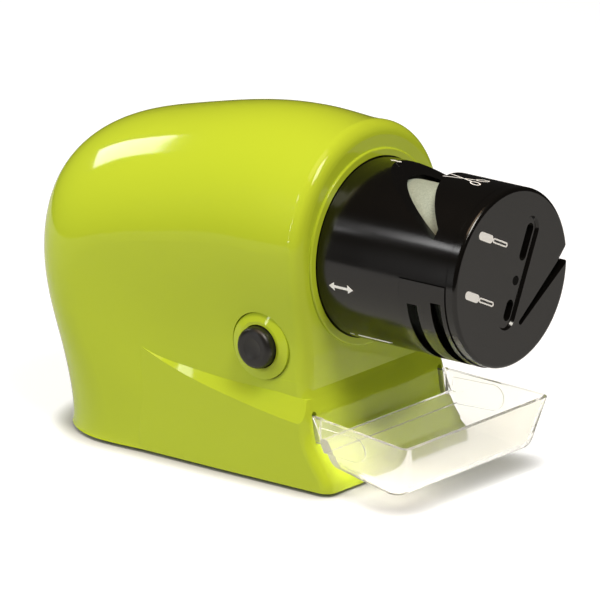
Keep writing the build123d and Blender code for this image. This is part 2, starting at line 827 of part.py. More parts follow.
with BuildPart() as wheel_screw:
    with BuildSketch(head_level(disc_front_x + washer_thickness)):
        Circle(wheel_screw_head_radius)
    extrude(amount=wheel_screw_head_height)
    fillet(wheel_screw.faces().sort_by(Axis.X)[-1].edges(), wheel_screw_edge_radius)
    with BuildSketch(head_level(disc_front_x + washer_thickness)):
        Circle(wheel_screw_radius)
    extrude(amount=-wheel_screw_length)
    with Locations((disc_front_x + washer_thickness + wheel_screw_head_height, 0, head_axis_z)):
        Box(*wheel_screw_cross, mode=Mode.SUBTRACT)
        Box(*wheel_screw_cross, rotation=(90, 0, 0), mode=Mode.SUBTRACT)

wheel_screw.part.label = "wheel_screw"
export_step(wheel_screw.part, "parts/wheel_screw.step")

# ---------------------------------------------------------------------------------------
# Head: a turning sleeve with a slanted notch that leads a blade on to the drum, a panel
# with two slots that lets the swarf fall, and a face with the guides for tips and scissors.

head_rear_x = inner_front_x + slide_clearance
shell_front_x = seam_x - seam_width
notch_low = 11.0            # the notch's bottom, above the axis
notch_low_reach = 12.6      # back from the face
notch_neck = 3.4            # height of its upright foot
notch_front_slope = 0.94    # how far its front wall goes back with each mm of height
notch_rear_slope = 1.91
notch_width = 0.9
notch_top = head_radius + 2.0
notch_plane = Plane(
    origin=(face_x, 0, head_axis_z),
    x_dir=(1, 0, 0),
    z_dir=(0, -cos(radians(head_clock)), sin(radians(head_clock))),
)

panel_top_angle = 6.4       # above the level of the axis, on the button's side
panel_bottom_angle = -76.0
panel_reach = 23.0          # back from the face
panel_gap = 0.35
panel_proud = 0.4
panel_depth = 1.6
vents_laid = [(17.6, -9.5), (7.8, -5.5)]    # middle, back from the face, and top angle
vent_width = 4.2
vent_bottom_angle = -66.0

# Guides in the face, measured from the axis: across towards the far side, and up
channel_centre = (3.6, 0.9)
channel_lean = 25.0
channel_length = 38.5
channel_width = 9.4
channel_depth = 0.9
channel_draft = 35.0
guide_width = 3.6
long_guide = (8.95, 10.1)
long_guide_length = 12.6
short_guide = (-0.5, -10.9)
short_guide_length = 7.2
face_screw_place = (3.3, -1.7)
face_screw_head_radius = 1.4
face_screw_radius = 0.8
scissor_foot = (4.9, -16.1)
scissor_foot_radius = 0.9
scissor_high = [(4.3, -15.4), (24.3, -0.1)]
scissor_low = [(31.2, -0.2), (5.5, -16.8)]
funnel_top = (30.0, 5.6)
funnel_depth = 11.0
spigot_length = 2.4
spigot_wall = 1.0


def sector(low, high, radius):
    """Corners of a wedge about the axis, between two angles on the button's side."""
    middle = (low + high) / 2
    corners = [(0, 0)]
    for angle in (low, middle, high):
        corners.append((-radius * cos(radians(angle)), radius * sin(radians(angle))))
    return corners


panel_rear_x = face_x - panel_reach

with BuildPart() as panel_zone:
    with BuildSketch(head_level(panel_rear_x)):
        Polygon(*sector(panel_bottom_angle, panel_top_angle, 2 * head_radius), align=None)
    extrude(amount=shell_front_x - panel_rear_x)

with BuildPart() as vents:
    for reach, top_angle in vents_laid:
        with BuildSketch(head_level(face_x - reach - vent_width / 2)):
            Polygon(*sector(vent_bottom_angle, top_angle, 2 * head_radius), align=None)
            Circle(head_bore / 2, mode=Mode.SUBTRACT)
        extrude(amount=vent_width)

with BuildPart() as funnel:
    with BuildSketch(head_level(face_x - funnel_depth)):
        Polygon(scissor_high[1], scissor_low[0], funnel_top, align=None)
    extrude(amount=funnel_depth)

with BuildPart() as panel_pocket:
    add(panel_zone.part)
    with BuildSketch(head_level(panel_rear_x)):
        Circle(head_radius + panel_proud - panel_depth)
    extrude(amount=shell_front_x - panel_rear_x, mode=Mode.SUBTRACT)

with BuildPart() as head_shell:
    with BuildSketch(head_level(head_rear_x)):
        Circle(head_radius)
        Circle(head_bore, mode=Mode.SUBTRACT)
    extrude(amount=shell_front_x - head_rear_x)
    with BuildSketch(notch_plane):
        with BuildLine():
            Polyline(
                (-notch_low_reach, notch_low),
                (-notch_low_reach, notch_low + notch_neck),
                (-notch_low_reach - notch_front_slope * (notch_top - notch_low - notch_neck), notch_top),
                (-notch_low_reach - notch_width - notch_rear_slope * (notch_top - notch_low), notch_top),
                (-notch_low_reach - notch_width, notch_low),
                close=True,
            )
        make_face()
    extrude(amount=2 * head_radius, both=True, mode=Mode.SUBTRACT)
    with BuildSketch(head_level(ring_x - slide_clearance / 2)):
        Circle(sleeve_radius + ring_reach + running_clearance)
    extrude(amount=ring_width + slide_clearance, mode=Mode.SUBTRACT)
    add([funnel.part, panel_pocket.part, vents.part], mode=Mode.SUBTRACT)

head_shell.part.label = "head_shell"
export_step(head_shell.part, "parts/head_shell.step")

panel_gap_angle = degrees(panel_gap / head_radius)

with BuildPart() as swarf_panel:
    with BuildSketch(head_level(panel_rear_x + panel_gap)):
        Circle(head_radius + panel_proud)
        Circle(head_radius + panel_proud - panel_depth, mode=Mode.SUBTRACT)
        Polygon(
            *sector(panel_bottom_angle + panel_gap_angle, panel_top_angle - panel_gap_angle, 2 * head_radius),
            align=None,
            mode=Mode.INTERSECT,
        )
    extrude(amount=shell_front_x - panel_rear_x - panel_gap)
    add(vents.part, mode=Mode.SUBTRACT)

swarf_panel.part.label = "swarf_panel"
export_step(swarf_panel.part, "parts/swarf_panel.step")

with BuildPart() as head_face:
    with BuildSketch(head_level(seam_x)):
        Circle(head_radius)
    extrude(amount=face_thickness)
    fillet(head_face.faces().sort_by(Axis.X)[-1].edges(), face_rim_radius)
    with BuildSketch(head_level(seam_x)):
        Circle(head_bore - moulding_clearance / 2)
        Circle(head_bore - moulding_clearance / 2 - spigot_wall, mode=Mode.SUBTRACT)
    extrude(amount=-spigot_length)
    with BuildSketch(head_level(seam_x - seam_width)):
        Circle(head_radius - seam_width)
        Circle(head_bore - moulding_clearance / 2 - spigot_wall, mode=Mode.SUBTRACT)
    extrude(amount=seam_width)
    with BuildSketch(head_level(face_x)):
        with Locations(channel_centre):
            SlotOverall(channel_length, channel_width, rotation=90 - channel_lean)
    extrude(amount=-channel_depth, taper=channel_draft, mode=Mode.SUBTRACT)
    with BuildSketch(head_level(seam_x)):
        with Locations(long_guide):
            SlotOverall(long_guide_length, guide_width, rotation=90 - channel_lean)
        with Locations(short_guide):
            SlotOverall(short_guide_length, guide_width, rotation=90 - channel_lean)
        with Locations(face_screw_place):
            Circle(face_screw_radius + moulding_clearance)
        Polygon(*scissor_high, *scissor_low, align=None)
        with Locations(scissor_foot):
            Circle(scissor_foot_radius)
    extrude(amount=face_thickness, mode=Mode.SUBTRACT)
    with BuildSketch(head_level(face_x - channel_depth)):
        with Locations(face_screw_place):
            Circle(face_screw_head_radius + moulding_clearance)
    extrude(amount=-face_screw_radius, mode=Mode.SUBTRACT)
    add(funnel.part, mode=Mode.SUBTRACT)

head_face.part.label = "head_face"
export_step(head_face.part, "parts/head_face.step")

with BuildPart() as face_screw:
    with BuildSketch(head_level(face_x - channel_depth - face_screw_radius)):
        with Locations(face_screw_place):
            Circle(face_screw_head_radius)
    extrude(amount=face_screw_radius)
    with BuildSketch(head_level(seam_x)):
        with Locations(face_screw_place):
            Circle(face_screw_radius)
    extrude(amount=face_thickness - channel_depth - face_screw_radius)

face_screw.part.label = "face_screw"
export_step(face_screw.part, "parts/face_screw.step")

# ---------------------------------------------------------------------------------------
# Power button: the bezel with legs that hold the switch, the domed cap and its plunger.

bezel_proud = 1.6
bezel_dome = 0.9
bezel_flange = 1.2
bezel_flange_thickness = 1.0
bezel_leg_thickness = 1.8
bezel_leg_width = 9.0
cap_clearance = 0.35
cap_proud = 3.6
cap_edge_radius = 2.0
cap_flange = 1.0
cap_flange_thickness = 1.2
dish_radius = 14.0
dish_depth = 0.45
plunger_radius = 2.2
plunger_socket = 4.0
switch_corner_radius = 1.0
switch_pin = (4.0, 4.5, 0.7)
switch_pin_pitch = 8.0
bezel_face_y = side_y - bezel_proud
flange_y = inner_side_y + slide_clearance
cap_stop_y = flange_y + bezel_flange_thickness + moulding_clearance

with BuildPart() as button_bezel:
    with BuildSketch(side_level(flange_y)):
        Circle(bezel_radius)
    extrude(amount=flange_y - bezel_face_y)
    chamfer(
        button_bezel.faces().sort_by(Axis.Y)[0].edges(),
        length=bezel_dome,
        length2=bezel_radius - button_radius - bezel_bore_wall,
        reference=button_bezel.faces().filter_by(GeomType.CYLINDER)[0],
    )
    with BuildSketch(side_level(flange_y)):
        Circle(bezel_radius + bezel_flange)
    extrude(amount=-bezel_flange_thickness)
    with BuildSketch(side_level(flange_y + bezel_flange_thickness)):
        Circle(button_radius + cap_clearance)
    extrude(amount=wall + bezel_proud + 2 * bezel_flange_thickness, mode=Mode.SUBTRACT)
    with BuildSketch(side_level(flange_y)):
        leg_reach = (switch_width + bezel_leg_thickness) / 2 + screw_clearance
        with Locations((leg_reach, 0), (-leg_reach, 0)):
            Rectangle(bezel_leg_thickness, bezel_leg_width)
    extrude(amount=-switch_gap - switch_depth)

button_bezel.part.label = "button_bezel"
export_step(button_bezel.part, "parts/button_bezel.step")

with BuildPart() as button_cap:
    with BuildSketch(side_level(cap_stop_y)):
        Circle(button_radius)
    extrude(amount=cap_stop_y - bezel_face_y + cap_proud)
    fillet(button_cap.faces().sort_by(Axis.Y)[0].edges(), cap_edge_radius)
    with Locations((button_x, bezel_face_y - cap_proud - dish_radius + dish_depth, button_z)):
        Sphere(dish_radius, mode=Mode.SUBTRACT)
    with BuildSketch(side_level(cap_stop_y)):
        Circle(button_radius + cap_flange)
    extrude(amount=-cap_flange_thickness)

button_cap.part.label = "button_cap"
export_step(button_cap.part, "parts/button_cap.step")

with BuildPart() as switch_plunger:
    with BuildSketch(side_level(cap_stop_y + cap_flange_thickness)):
        Circle(plunger_radius)
    extrude(amount=-(switch_y - cap_stop_y - cap_flange_thickness + plunger_socket))

switch_plunger.part.label = "switch_plunger"
export_step(switch_plunger.part, "parts/switch_plunger.step")

with BuildPart() as switch_body:
    with Locations((button_x, switch_y, button_z)):
        Box(switch_width, switch_depth, switch_height, align=(Align.CENTER, Align.MIN, Align.CENTER))
    fillet(switch_body.edges().filter_by(Axis.Y), switch_corner_radius)
    with BuildSketch(side_level(switch_y)):
        Circle(plunger_radius + moulding_clearance)
    extrude(amount=-(plunger_socket + button_travel + slide_clearance), mode=Mode.SUBTRACT)
    pin_y = switch_y + switch_depth
    with Locations(*[(button_x, pin_y, button_z + side * switch_pin_pitch / 2) for side in (-1, 1)]):
        Box(*switch_pin, align=(Align.CENTER, Align.MIN, Align.CENTER))

switch_body.part.label = "switch_body"
export_step(switch_body.part, "parts/switch_body.step")

# ---------------------------------------------------------------------------------------
# Battery bay: four AA cells side by side, lying in a moulded box that the door closes,
# with a spring plate at one end and a contact plate at the other.

cell_pitch = 2 * cell_radius + cell_gap
cell_lift = 0.5
cell_z = base_z + base_thickness + cell_lift + cell_radius
cell_rows = [(index - (cell_count - 1) / 2) * cell_pitch for index in range(cell_count)]
box_wall = 1.4
box_corner_radius = 1.2
box_play = 1.0
box_top_z = cell_z + cell_radius + cell_lift
contact_thickness = 0.5
contact_spring_length = 3.0
contact_spring_radius = 3.6
contact_spring_wire = 0.45
contact_spring_turns = 3
contact_spring_step = 0.8     # each turn is this much smaller
contact_spring_pitch = 0.9
contact_size = (2 * cell_radius - 2.0, 2 * cell_radius - 4.0)
cell_cap_radius = 2.7
cell_cap_length = 1.2
cell_edge = 0.6
contact_room = contact_spring_length + 2 * contact_thickness
box_length = cell_length + contact_room + box_play
box_rear_x = battery_x - box_length / 2
cell_rear_x = box_rear_x + contact_thickness + contact_spring_length
box_half_width = (cell_count * cell_pitch) / 2 + cell_gap

with BuildPart() as battery_box:
    with Locations((battery_x, 0, base_z + base_thickness)):
        Box(
            box_length + 2 * box_wall,
            2 * (box_half_width + box_wall),
            box_top_z + box_wall - base_z - base_thickness,
            align=(Align.CENTER, Align.CENTER, Align.MIN),
        )
    fillet(battery_box.edges().filter_by(Axis.Z), box_corner_radius)
    with Locations((battery_x, 0, base_z + base_thickness)):
        Box(
            box_length,
            2 * box_half_width,
            box_top_z - base_z - base_thickness,
            align=(Align.CENTER, Align.CENTER, Align.MIN),
            mode=Mode.SUBTRACT,
        )

battery_box.part.label = "battery_box"
export_step(battery_box.part, "parts/battery_box.step")

with BuildPart() as battery_cells:
    for row in cell_rows:
        with BuildSketch(Plane(origin=(cell_rear_x, row, cell_z), x_dir=(0, 1, 0), z_dir=(1, 0, 0))):
            Circle(cell_radius)
        extrude(amount=cell_length - cell_cap_length)
    fillet(battery_cells.edges().filter_by(GeomType.CIRCLE), cell_edge)
    for row in cell_rows:
        front = cell_rear_x + cell_length - cell_cap_length
        with BuildSketch(Plane(origin=(front, row, cell_z), x_dir=(0, 1, 0), z_dir=(1, 0, 0))):
            Circle(cell_cap_radius)
        extrude(amount=cell_cap_length)

battery_cells.part.label = "battery_cells"
export_step(battery_cells.part, "parts/battery_cells.step")

with BuildPart() as contact_plates:
    for row in cell_rows:
        with Locations((box_rear_x + box_length, row, cell_z)):
            Box(contact_thickness, *contact_size, align=(Align.MAX, Align.CENTER, Align.CENTER))

contact_plates.part.label = "contact_plates"
export_step(contact_plates.part, "parts/contact_plates.step")

with BuildPart() as contact_springs:
    for row in cell_rows:
        spring_plane = Plane(origin=(box_rear_x, row, cell_z), x_dir=(0, 1, 0), z_dir=(1, 0, 0))
        with BuildSketch(spring_plane):
            Rectangle(*contact_size)
        extrude(amount=contact_thickness)
        for turn in range(contact_spring_turns):
            turn_radius = contact_spring_radius - turn * contact_spring_step
            with BuildSketch(spring_plane.offset(contact_thickness + turn * contact_spring_pitch)):
                Circle(turn_radius)
                Circle(turn_radius - 2 * contact_spring_wire, mode=Mode.SUBTRACT)
            extrude(amount=contact_spring_pitch)

contact_springs.part.label = "contact_springs"
export_step(contact_springs.part, "parts/contact_springs.step")

# ---------------------------------------------------------------------------------------
# Catch tray: a clear moulded tub that narrows to its floor, whose sides run back as tabs
# into the housing's slots, with a raised runner on each side.

tray_floor_rear = 11.5      # back edge of the floor, ahead of the housing's front
tray_floor_front = 40.5
tray_rim_rear = 3.2
tray_floor_corner_radius = 7.0
tray_rim_corner_radius = 3.0
tray_floor_half_widths = (waist_half_width - 1.4, housing_half_width - 0.3)
tray_rim_trim = 0.1
tray_floor_radius = 5.0
tray_back_cut = 12.0
runner_radius = 4.3
runner_length = 20.0
runner_proud = 0.6
runner_z = 18.5
runner_rear = 6.6


def tilted_plane(rear, rear_z, front, front_z):
    """A plane that slopes from a rear height to a front height, above the housing's front."""
    slope = atan2(front_z - rear_z, front - rear)
    return Plane(
        origin=(front_x + rear, 0, rear_z),
        x_dir=(cos(slope), 0, sin(slope)),
        z_dir=(-sin(slope), 0, cos(slope)),
    )


def tray_tub(inset):
    """The tray's outer form, or the room inside it, from its floor to its rim."""
    floor = tilted_plane(
        tray_floor_rear + inset,
        tray_floor_rear_z + inset,
        tray_floor_front - inset,
        tray_floor_front_z + inset,
    )
    rise = 0.0 if inset == 0 else tray_rim_trim
    rim = tilted_plane(
        tray_rim_rear + inset, tray_rim_rear_z + rise, tray_reach - inset, tray_rim_front_z + rise
    )
    with BuildPart() as tub:
        for level, length, half_widths, corner_radius in (
            (
                floor,
                tray_floor_front - tray_floor_rear - 2 * inset,
                tray_floor_half_widths,
                tray_floor_corner_radius,
            ),
            (
                rim,
                tray_reach - tray_rim_rear - 2 * inset,
                (tray_rear_half_width, tray_front_half_width),
                tray_rim_corner_radius,
            ),
        ):
            with BuildSketch(level):
                with BuildLine():
                    FilletPolyline(
                        (length / 2, half_widths[0] / 2 + half_widths[1] / 2 - inset),
                        (length, half_widths[1] - inset),
                        (length, -half_widths[1] + inset),
                        (length / 2, -half_widths[0] / 2 - half_widths[1] / 2 + inset),
                        radius=corner_radius - inset,
                    )
                    Polyline(
                        (length / 2, -half_widths[0] / 2 - half_widths[1] / 2 + inset),
                        (0, -half_widths[0] + inset),
                        (0, half_widths[0] - inset),
                        (length / 2, half_widths[0] / 2 + half_widths[1] / 2 - inset),
                    )
                make_face()
        loft()
        foot_edges = tub.faces().sort_by(Axis.Z)[0].edges()
        foot_front = foot_edges.filter_by(lambda e: e.center().X > front_x + tray_floor_rear + 2 * tray_wall)
        fillet(foot_front, tray_floor_radius - inset)
    return tub.part


tub_outside = tray_tub(0)
tub_inside = tray_tub(tray_wall)

with BuildPart() as runners:
    with BuildSketch(Plane(origin=(front_x + runner_rear, 0, runner_z), x_dir=(1, 0, 0), z_dir=(0, -1, 0))):
        Rectangle(runner_length - runner_radius, 2 * runner_radius, align=(Align.MIN, Align.CENTER))
        with Locations((runner_length - runner_radius, 0)):
            Circle(runner_radius)
    extrude(amount=housing_half_width, both=True)
    add(tray_tub(-runner_proud), mode=Mode.INTERSECT)

with BuildPart() as catch_tray:
    add(tub_outside)
    add(runners.part)
    add(tub_inside, mode=Mode.SUBTRACT)
    with Locations((front_x, 0, tray_back_z)):
        Box(
            tray_back_cut,
            2 * (tray_rear_half_width - tray_wall),
            tray_rim_rear_z,
            align=(Align.MIN, Align.CENTER, Align.MIN),
            mode=Mode.SUBTRACT,
        )
    # tabs into the housing's slots
    tab_rear_x = front_x + tab_front - tab_length
    with Locations(*[(tab_rear_x, side * slot_y, sum(tab_height) / 2) for side in (1, -1)]):
        Box(
            tab_length,
            tray_wall,
            tab_height[1] - tab_height[0],
            align=(Align.MIN, Align.CENTER, Align.CENTER),
        )

catch_tray.part.label = "catch_tray"
export_step(catch_tray.part, "parts/catch_tray.step")
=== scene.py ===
"""Dresses a battery knife sharpener: a glossy green housing, a black turning head and a clear tray.

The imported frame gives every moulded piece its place. This file adds the finishes, the printed
icons, the recessed screws, the grip ribs and the studio round it.
"""

from __future__ import annotations

import json
import logging
import math
from dataclasses import dataclass, field
from enum import Enum
from typing import Any, Callable, Sequence

import bmesh
import bpy
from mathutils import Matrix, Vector

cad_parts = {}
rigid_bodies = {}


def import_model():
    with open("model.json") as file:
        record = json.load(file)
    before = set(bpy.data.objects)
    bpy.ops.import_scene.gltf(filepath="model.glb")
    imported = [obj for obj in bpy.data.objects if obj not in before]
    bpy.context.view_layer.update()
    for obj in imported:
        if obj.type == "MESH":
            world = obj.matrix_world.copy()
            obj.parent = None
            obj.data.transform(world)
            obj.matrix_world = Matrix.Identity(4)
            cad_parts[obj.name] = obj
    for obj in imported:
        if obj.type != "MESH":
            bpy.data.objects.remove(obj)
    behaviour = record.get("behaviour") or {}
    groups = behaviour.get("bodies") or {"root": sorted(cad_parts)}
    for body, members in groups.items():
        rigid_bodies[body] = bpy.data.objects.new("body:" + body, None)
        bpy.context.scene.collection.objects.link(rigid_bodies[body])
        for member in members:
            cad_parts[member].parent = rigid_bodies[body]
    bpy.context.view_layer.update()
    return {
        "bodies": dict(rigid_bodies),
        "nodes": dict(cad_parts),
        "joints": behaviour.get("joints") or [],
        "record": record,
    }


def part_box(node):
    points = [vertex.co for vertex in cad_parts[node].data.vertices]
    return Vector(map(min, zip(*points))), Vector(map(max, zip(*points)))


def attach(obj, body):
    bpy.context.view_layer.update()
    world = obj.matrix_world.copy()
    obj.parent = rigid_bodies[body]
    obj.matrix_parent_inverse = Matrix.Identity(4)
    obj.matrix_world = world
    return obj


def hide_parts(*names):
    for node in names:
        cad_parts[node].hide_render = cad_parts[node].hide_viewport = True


LOG = logging.getLogger("sharpener")
MM = 0.001
WELD = 0.001 * MM  # corners closer than this are one corner
MOULDING_WAVE = 0.5 * MM  # how high a moulding's bumps stand at full strength
GRAIN_HEIGHT = 0.1 * MM  # the same for a grained surface
WHITE = (1.0, 1.0, 1.0, 1.0)
Colour = tuple[float, float, float]
Point2 = tuple[float, float]
Outlines = list[list[Point2]]
Placing = Callable[[float, float, float], Vector]


class Body(str, Enum):
    """The rigid bodies that the added pieces ride on."""

    HOUSING = "housing_body"
    HEAD = "head"
    DOOR = "door"


# ---------------------------------------------------------------------------------------
# Node graphs


class Graph:
    """A node tree that is filled in one call a node."""

    def __init__(self, tree: bpy.types.NodeTree) -> None:
        """Starts from an empty tree.

        Args:
            tree: The node tree to fill. What it holds is cleared.
        """
        self.tree = tree
        self.tree.nodes.clear()

    def add(self, kind: str, settings: dict[str, Any] | None = None, **inputs: Any) -> bpy.types.Node:
        """Adds a node and sets or links its inputs.

        Args:
            kind: The node's type name.
            settings: Attributes of the node itself.
            **inputs: Input values or sockets by name, with underscores for spaces. A name that
                starts with "i" and a number means the input at that index.

        Returns:
            The new node.
        """
        node = self.tree.nodes.new(kind)
        for name, value in (settings or {}).items():
            setattr(node, name, value)
        for name, value in inputs.items():
            key = int(name[1:]) if name[1:].isdigit() else name.replace("_", " ")
            socket = node.inputs[key]
            if isinstance(value, bpy.types.NodeSocket):
                self.tree.links.new(value, socket)
            else:
                socket.default_value = value
        return node

    def math(self, operation: str, first: Any, second: Any) -> bpy.types.NodeSocket:
        """Returns the output of a Math node on two values or sockets."""
        return self.add("ShaderNodeMath", {"operation": operation}, i0=first, i1=second).outputs[0]

    def ramp(self, factor: Any, stops: Sequence[tuple[float, float]]) -> bpy.types.NodeSocket:
        """Maps a factor through grey stops.

        Args:
            factor: The socket to map.
            stops: Pairs of position and grey value, in rising order.

        Returns:
            The mapped value.
        """
        node = self.add("ShaderNodeValToRGB", Fac=factor)
        elements = node.color_ramp.elements
        while len(elements) < len(stops):
            elements.new(0.5)
        for element, (position, grey) in zip(elements, stops):
            element.position = position
            element.color = (grey, grey, grey, 1.0)
        return node.outputs["Color"]


def new_group(name: str, inputs: dict[str, float], outputs: Sequence[str]) -> tuple[Graph, Any, Any]:
    """Starts a shader node group with named float sockets.

    Args:
        name: The group's name.
        inputs: Input names and their default values.
        outputs: Output names.

    Returns:
        The graph inside the group, its input node and its output node.
    """
    tree = bpy.data.node_groups.new(name, "ShaderNodeTree")
    graph = Graph(tree)
    for label, default in inputs.items():
        socket = tree.interface.new_socket(name=label, in_out="INPUT", socket_type="NodeSocketFloat")
        socket.default_value = default
    for label in outputs:
        tree.interface.new_socket(name=label, in_out="OUTPUT", socket_type="NodeSocketFloat")
    return graph, graph.add("NodeGroupInput"), graph.add("NodeGroupOutput")


class Effects:
    """The shader node groups that several finishes share."""

    def __init__(self) -> None:
        """Builds each group once."""
        self.moulding = self._moulding()
        self.handling = self._handling()
        self.grain = self._grain()

    @staticmethod
    def _moulding() -> bpy.types.NodeTree:
        """Makes the slight waviness of a polished moulding.

        Returns:
            A group that gives a height and a tone that drifts slowly over the surface.
        """
        graph, given, out = new_group("moulding_flow", {"Scale": 40.0, "Drift": 12.0}, ["Height", "Tone"])
        place = graph.add("ShaderNodeTexCoord").outputs["Object"]
        fine = graph.add("ShaderNodeTexNoise", Vector=place, Scale=given.outputs["Scale"], Detail=3.0)
        wide = graph.add("ShaderNodeTexNoise", Vector=place, Scale=given.outputs["Drift"], Detail=1.0)
        graph.tree.links.new(fine.outputs["Fac"], out.inputs["Height"])
        graph.tree.links.new(wide.outputs["Fac"], out.inputs["Tone"])
        return graph.tree

    @staticmethod
    def _handling() -> bpy.types.NodeTree:
        """Makes the faint smudges that hands leave on gloss.

        Returns:
            A group that gives a mask, 1 where the surface is duller.
        """
        graph, given, out = new_group("handling_marks", {"Scale": 28.0, "Amount": 0.05}, ["Mask"])
        place = graph.add("ShaderNodeTexCoord").outputs["Object"]
        scale = given.outputs["Scale"]
        cloud = graph.add("ShaderNodeTexNoise", Vector=place, Scale=scale, Detail=2.0)
        spots = graph.ramp(cloud.outputs["Fac"], [(0.35, 0.0), (0.75, 1.0)])
        graph.tree.links.new(graph.math("MULTIPLY", spots, given.outputs["Amount"]), out.inputs["Mask"])
        return graph.tree

    @staticmethod
    def _grain() -> bpy.types.NodeTree:
        """Makes packed grains, for abrasive and for spark-textured mouldings.

        Returns:
            A group that gives a height and a tone for each grain.
        """
        graph, given, out = new_group("packed_grain", {"Scale": 2500.0}, ["Height", "Tone"])
        place = graph.add("ShaderNodeTexCoord").outputs["Object"]
        cells = graph.add("ShaderNodeTexVoronoi", Vector=place, Scale=given.outputs["Scale"])
        grey = graph.add("ShaderNodeRGBToBW", Color=cells.outputs["Color"]).outputs[0]
        graph.tree.links.new(graph.math("SUBTRACT", 1.0, cells.outputs["Distance"]), out.inputs["Height"])
        graph.tree.links.new(grey, out.inputs["Tone"])
        return graph.tree


# ---------------------------------------------------------------------------------------
# Finishes


@dataclass(frozen=True)
class Finish:
    """A moulded or metal finish whose colour drifts between two tones."""

    name: str
    low: Colour
    high: Colour
    roughness: float = 0.3
    smudge: float = 0.05
    metallic: float = 0.0
    bump: float = 0.0
    specular: float = 0.5

    def shader(self, graph: Graph, effects: Effects) -> bpy.types.Node:
        """Adds the finish's Principled BSDF and what feeds it.

        Args:
            graph: The material's node graph.
            effects: The shared shader groups.

        Returns:
            The Principled BSDF node.
        """
        flow = graph.add("ShaderNodeGroup", {"node_tree": effects.moulding})
        marks = graph.add("ShaderNodeGroup", {"node_tree": effects.handling}, Amount=self.smudge)
        rough = graph.math("ADD", self.roughness, marks.outputs["Mask"])
        height = flow.outputs["Height"]
        bump = graph.add("ShaderNodeBump", Height=height, Strength=self.bump, Distance=MOULDING_WAVE)
        return self.principled(graph, flow.outputs["Tone"], bump.outputs["Normal"], rough)

    def principled(self, graph: Graph, tone: Any, normal: Any, rough: Any) -> bpy.types.Node:
        """Adds the Principled BSDF itself.

        Args:
            graph: The material's node graph.
            tone: The socket that drifts from the low tone to the high one.
            normal: The socket of the surface's normal.
            rough: The roughness, as a number or a socket.

        Returns:
            The Principled BSDF node.
        """
        low, high = (*self.low, 1.0), (*self.high, 1.0)
        mix = graph.add("ShaderNodeMix", {"data_type": "RGBA"}, i0=tone, i6=low, i7=high)
        return graph.add(
            "ShaderNodeBsdfPrincipled",
            Base_Color=mix.outputs[2],
            Roughness=rough,
            Metallic=self.metallic,
            Specular_IOR_Level=self.specular,
            Normal=normal,
        )

    def surface(self, graph: Graph, effects: Effects) -> bpy.types.NodeSocket:
        """Returns the socket of the surface that the material shows."""
        return self.shader(graph, effects).outputs[0]

    def make(self, effects: Effects) -> bpy.types.Material:
        """Builds the material.

        Args:
            effects: The shared shader groups.

        Returns:
            The finished material.
        """
        material = bpy.data.materials.new(self.name)
        material.use_nodes = True
        graph = Graph(material.node_tree)
        graph.add("ShaderNodeOutputMaterial", Surface=self.surface(graph, effects))
        return material


@dataclass(frozen=True)
class GrainFinish(Finish):
    """A surface of fine grains, such as abrasive or a textured moulding."""

    grain_scale: float = 2500.0
    grain_depth: float = 0.4

    def shader(self, graph: Graph, effects: Effects) -> bpy.types.Node:
        """Adds grains in place of the moulding's flow.

        Args:
            graph: The material's node graph.
            effects: The shared shader groups.

        Returns:
            The Principled BSDF node.
        """
        grain = graph.add("ShaderNodeGroup", {"node_tree": effects.grain}, Scale=self.grain_scale)
        height = grain.outputs["Height"]
        bump = graph.add("ShaderNodeBump", Height=height, Strength=self.grain_depth, Distance=GRAIN_HEIGHT)
        return self.principled(graph, grain.outputs["Tone"], bump.outputs["Normal"], self.roughness)


@dataclass(frozen=True)
class ClearFinish(Finish):
    """Clear moulded plastic, a little cloudy, that lets the lamps' light through."""

    index: float = 1.25
    clarity: float = 0.86
    shadow_tint: Colour = (0.93, 0.94, 0.93)

    def surface(self, graph: Graph, effects: Effects) -> bpy.types.NodeSocket:
        """Lets light through the plain finish, and lets most of it past in a shadow.

        Args:
            graph: The material's node graph.
            effects: The shared shader groups.

        Returns:
            The socket of the surface that the material shows.
        """
        shader = self.shader(graph, effects)
        shader.inputs["Transmission Weight"].default_value = self.clarity
        shader.inputs["IOR"].default_value = self.index
        shade = graph.add("ShaderNodeBsdfTransparent", Color=(*self.shadow_tint, 1.0))
        shadow = graph.add("ShaderNodeLightPath").outputs["Is Shadow Ray"]
        both = graph.add("ShaderNodeMixShader", i0=shadow, i1=shader.outputs[0], i2=shade.outputs[0])
        return both.outputs[0]


GREEN = Finish(
    "lime_gloss",
    (0.455, 0.560, 0.028),
    (0.475, 0.580, 0.034),
    roughness=0.06,
    smudge=0.03,
    bump=0.02,
    specular=0.25,
)
GREEN_BASE = GrainFinish(
    "lime_texture", (0.42, 0.50, 0.02), (0.48, 0.56, 0.03), roughness=0.5, grain_depth=0.2
)
BLACK = Finish(
    "black_gloss_moulding",
    (0.0034, 0.0030, 0.0026),
    (0.0048, 0.0042, 0.0036),
    roughness=0.14,
    bump=0.03,
)
BLACK_SATIN = Finish(
    "black_satin_cap", (0.006, 0.0055, 0.005), (0.010, 0.009, 0.008), roughness=0.36, bump=0.02
)
CLEAR = ClearFinish(
    "clear_moulding", (0.97, 0.955, 0.90), (0.98, 0.965, 0.92), roughness=0.05, smudge=0.06, bump=0.02
)
BLACKENED = Finish(
    "blackened_steel", (0.0015, 0.0014, 0.0013), (0.003, 0.0028, 0.0026), roughness=0.6, specular=0.1
)
INNER = GrainFinish(
    "dark_nylon", (0.010, 0.009, 0.008), (0.018, 0.017, 0.016), roughness=0.55, grain_depth=0.2
)
ABRASIVE = GrainFinish(
    "fine_abrasive",
    (0.28, 0.33, 0.27),
    (0.46, 0.51, 0.43),
    roughness=0.85,
    grain_scale=3200.0,
    grain_depth=0.6,
)
STEEL = Finish("zinc_steel", (0.50, 0.50, 0.51), (0.62, 0.62, 0.63), roughness=0.3, metallic=1.0, bump=0.05)
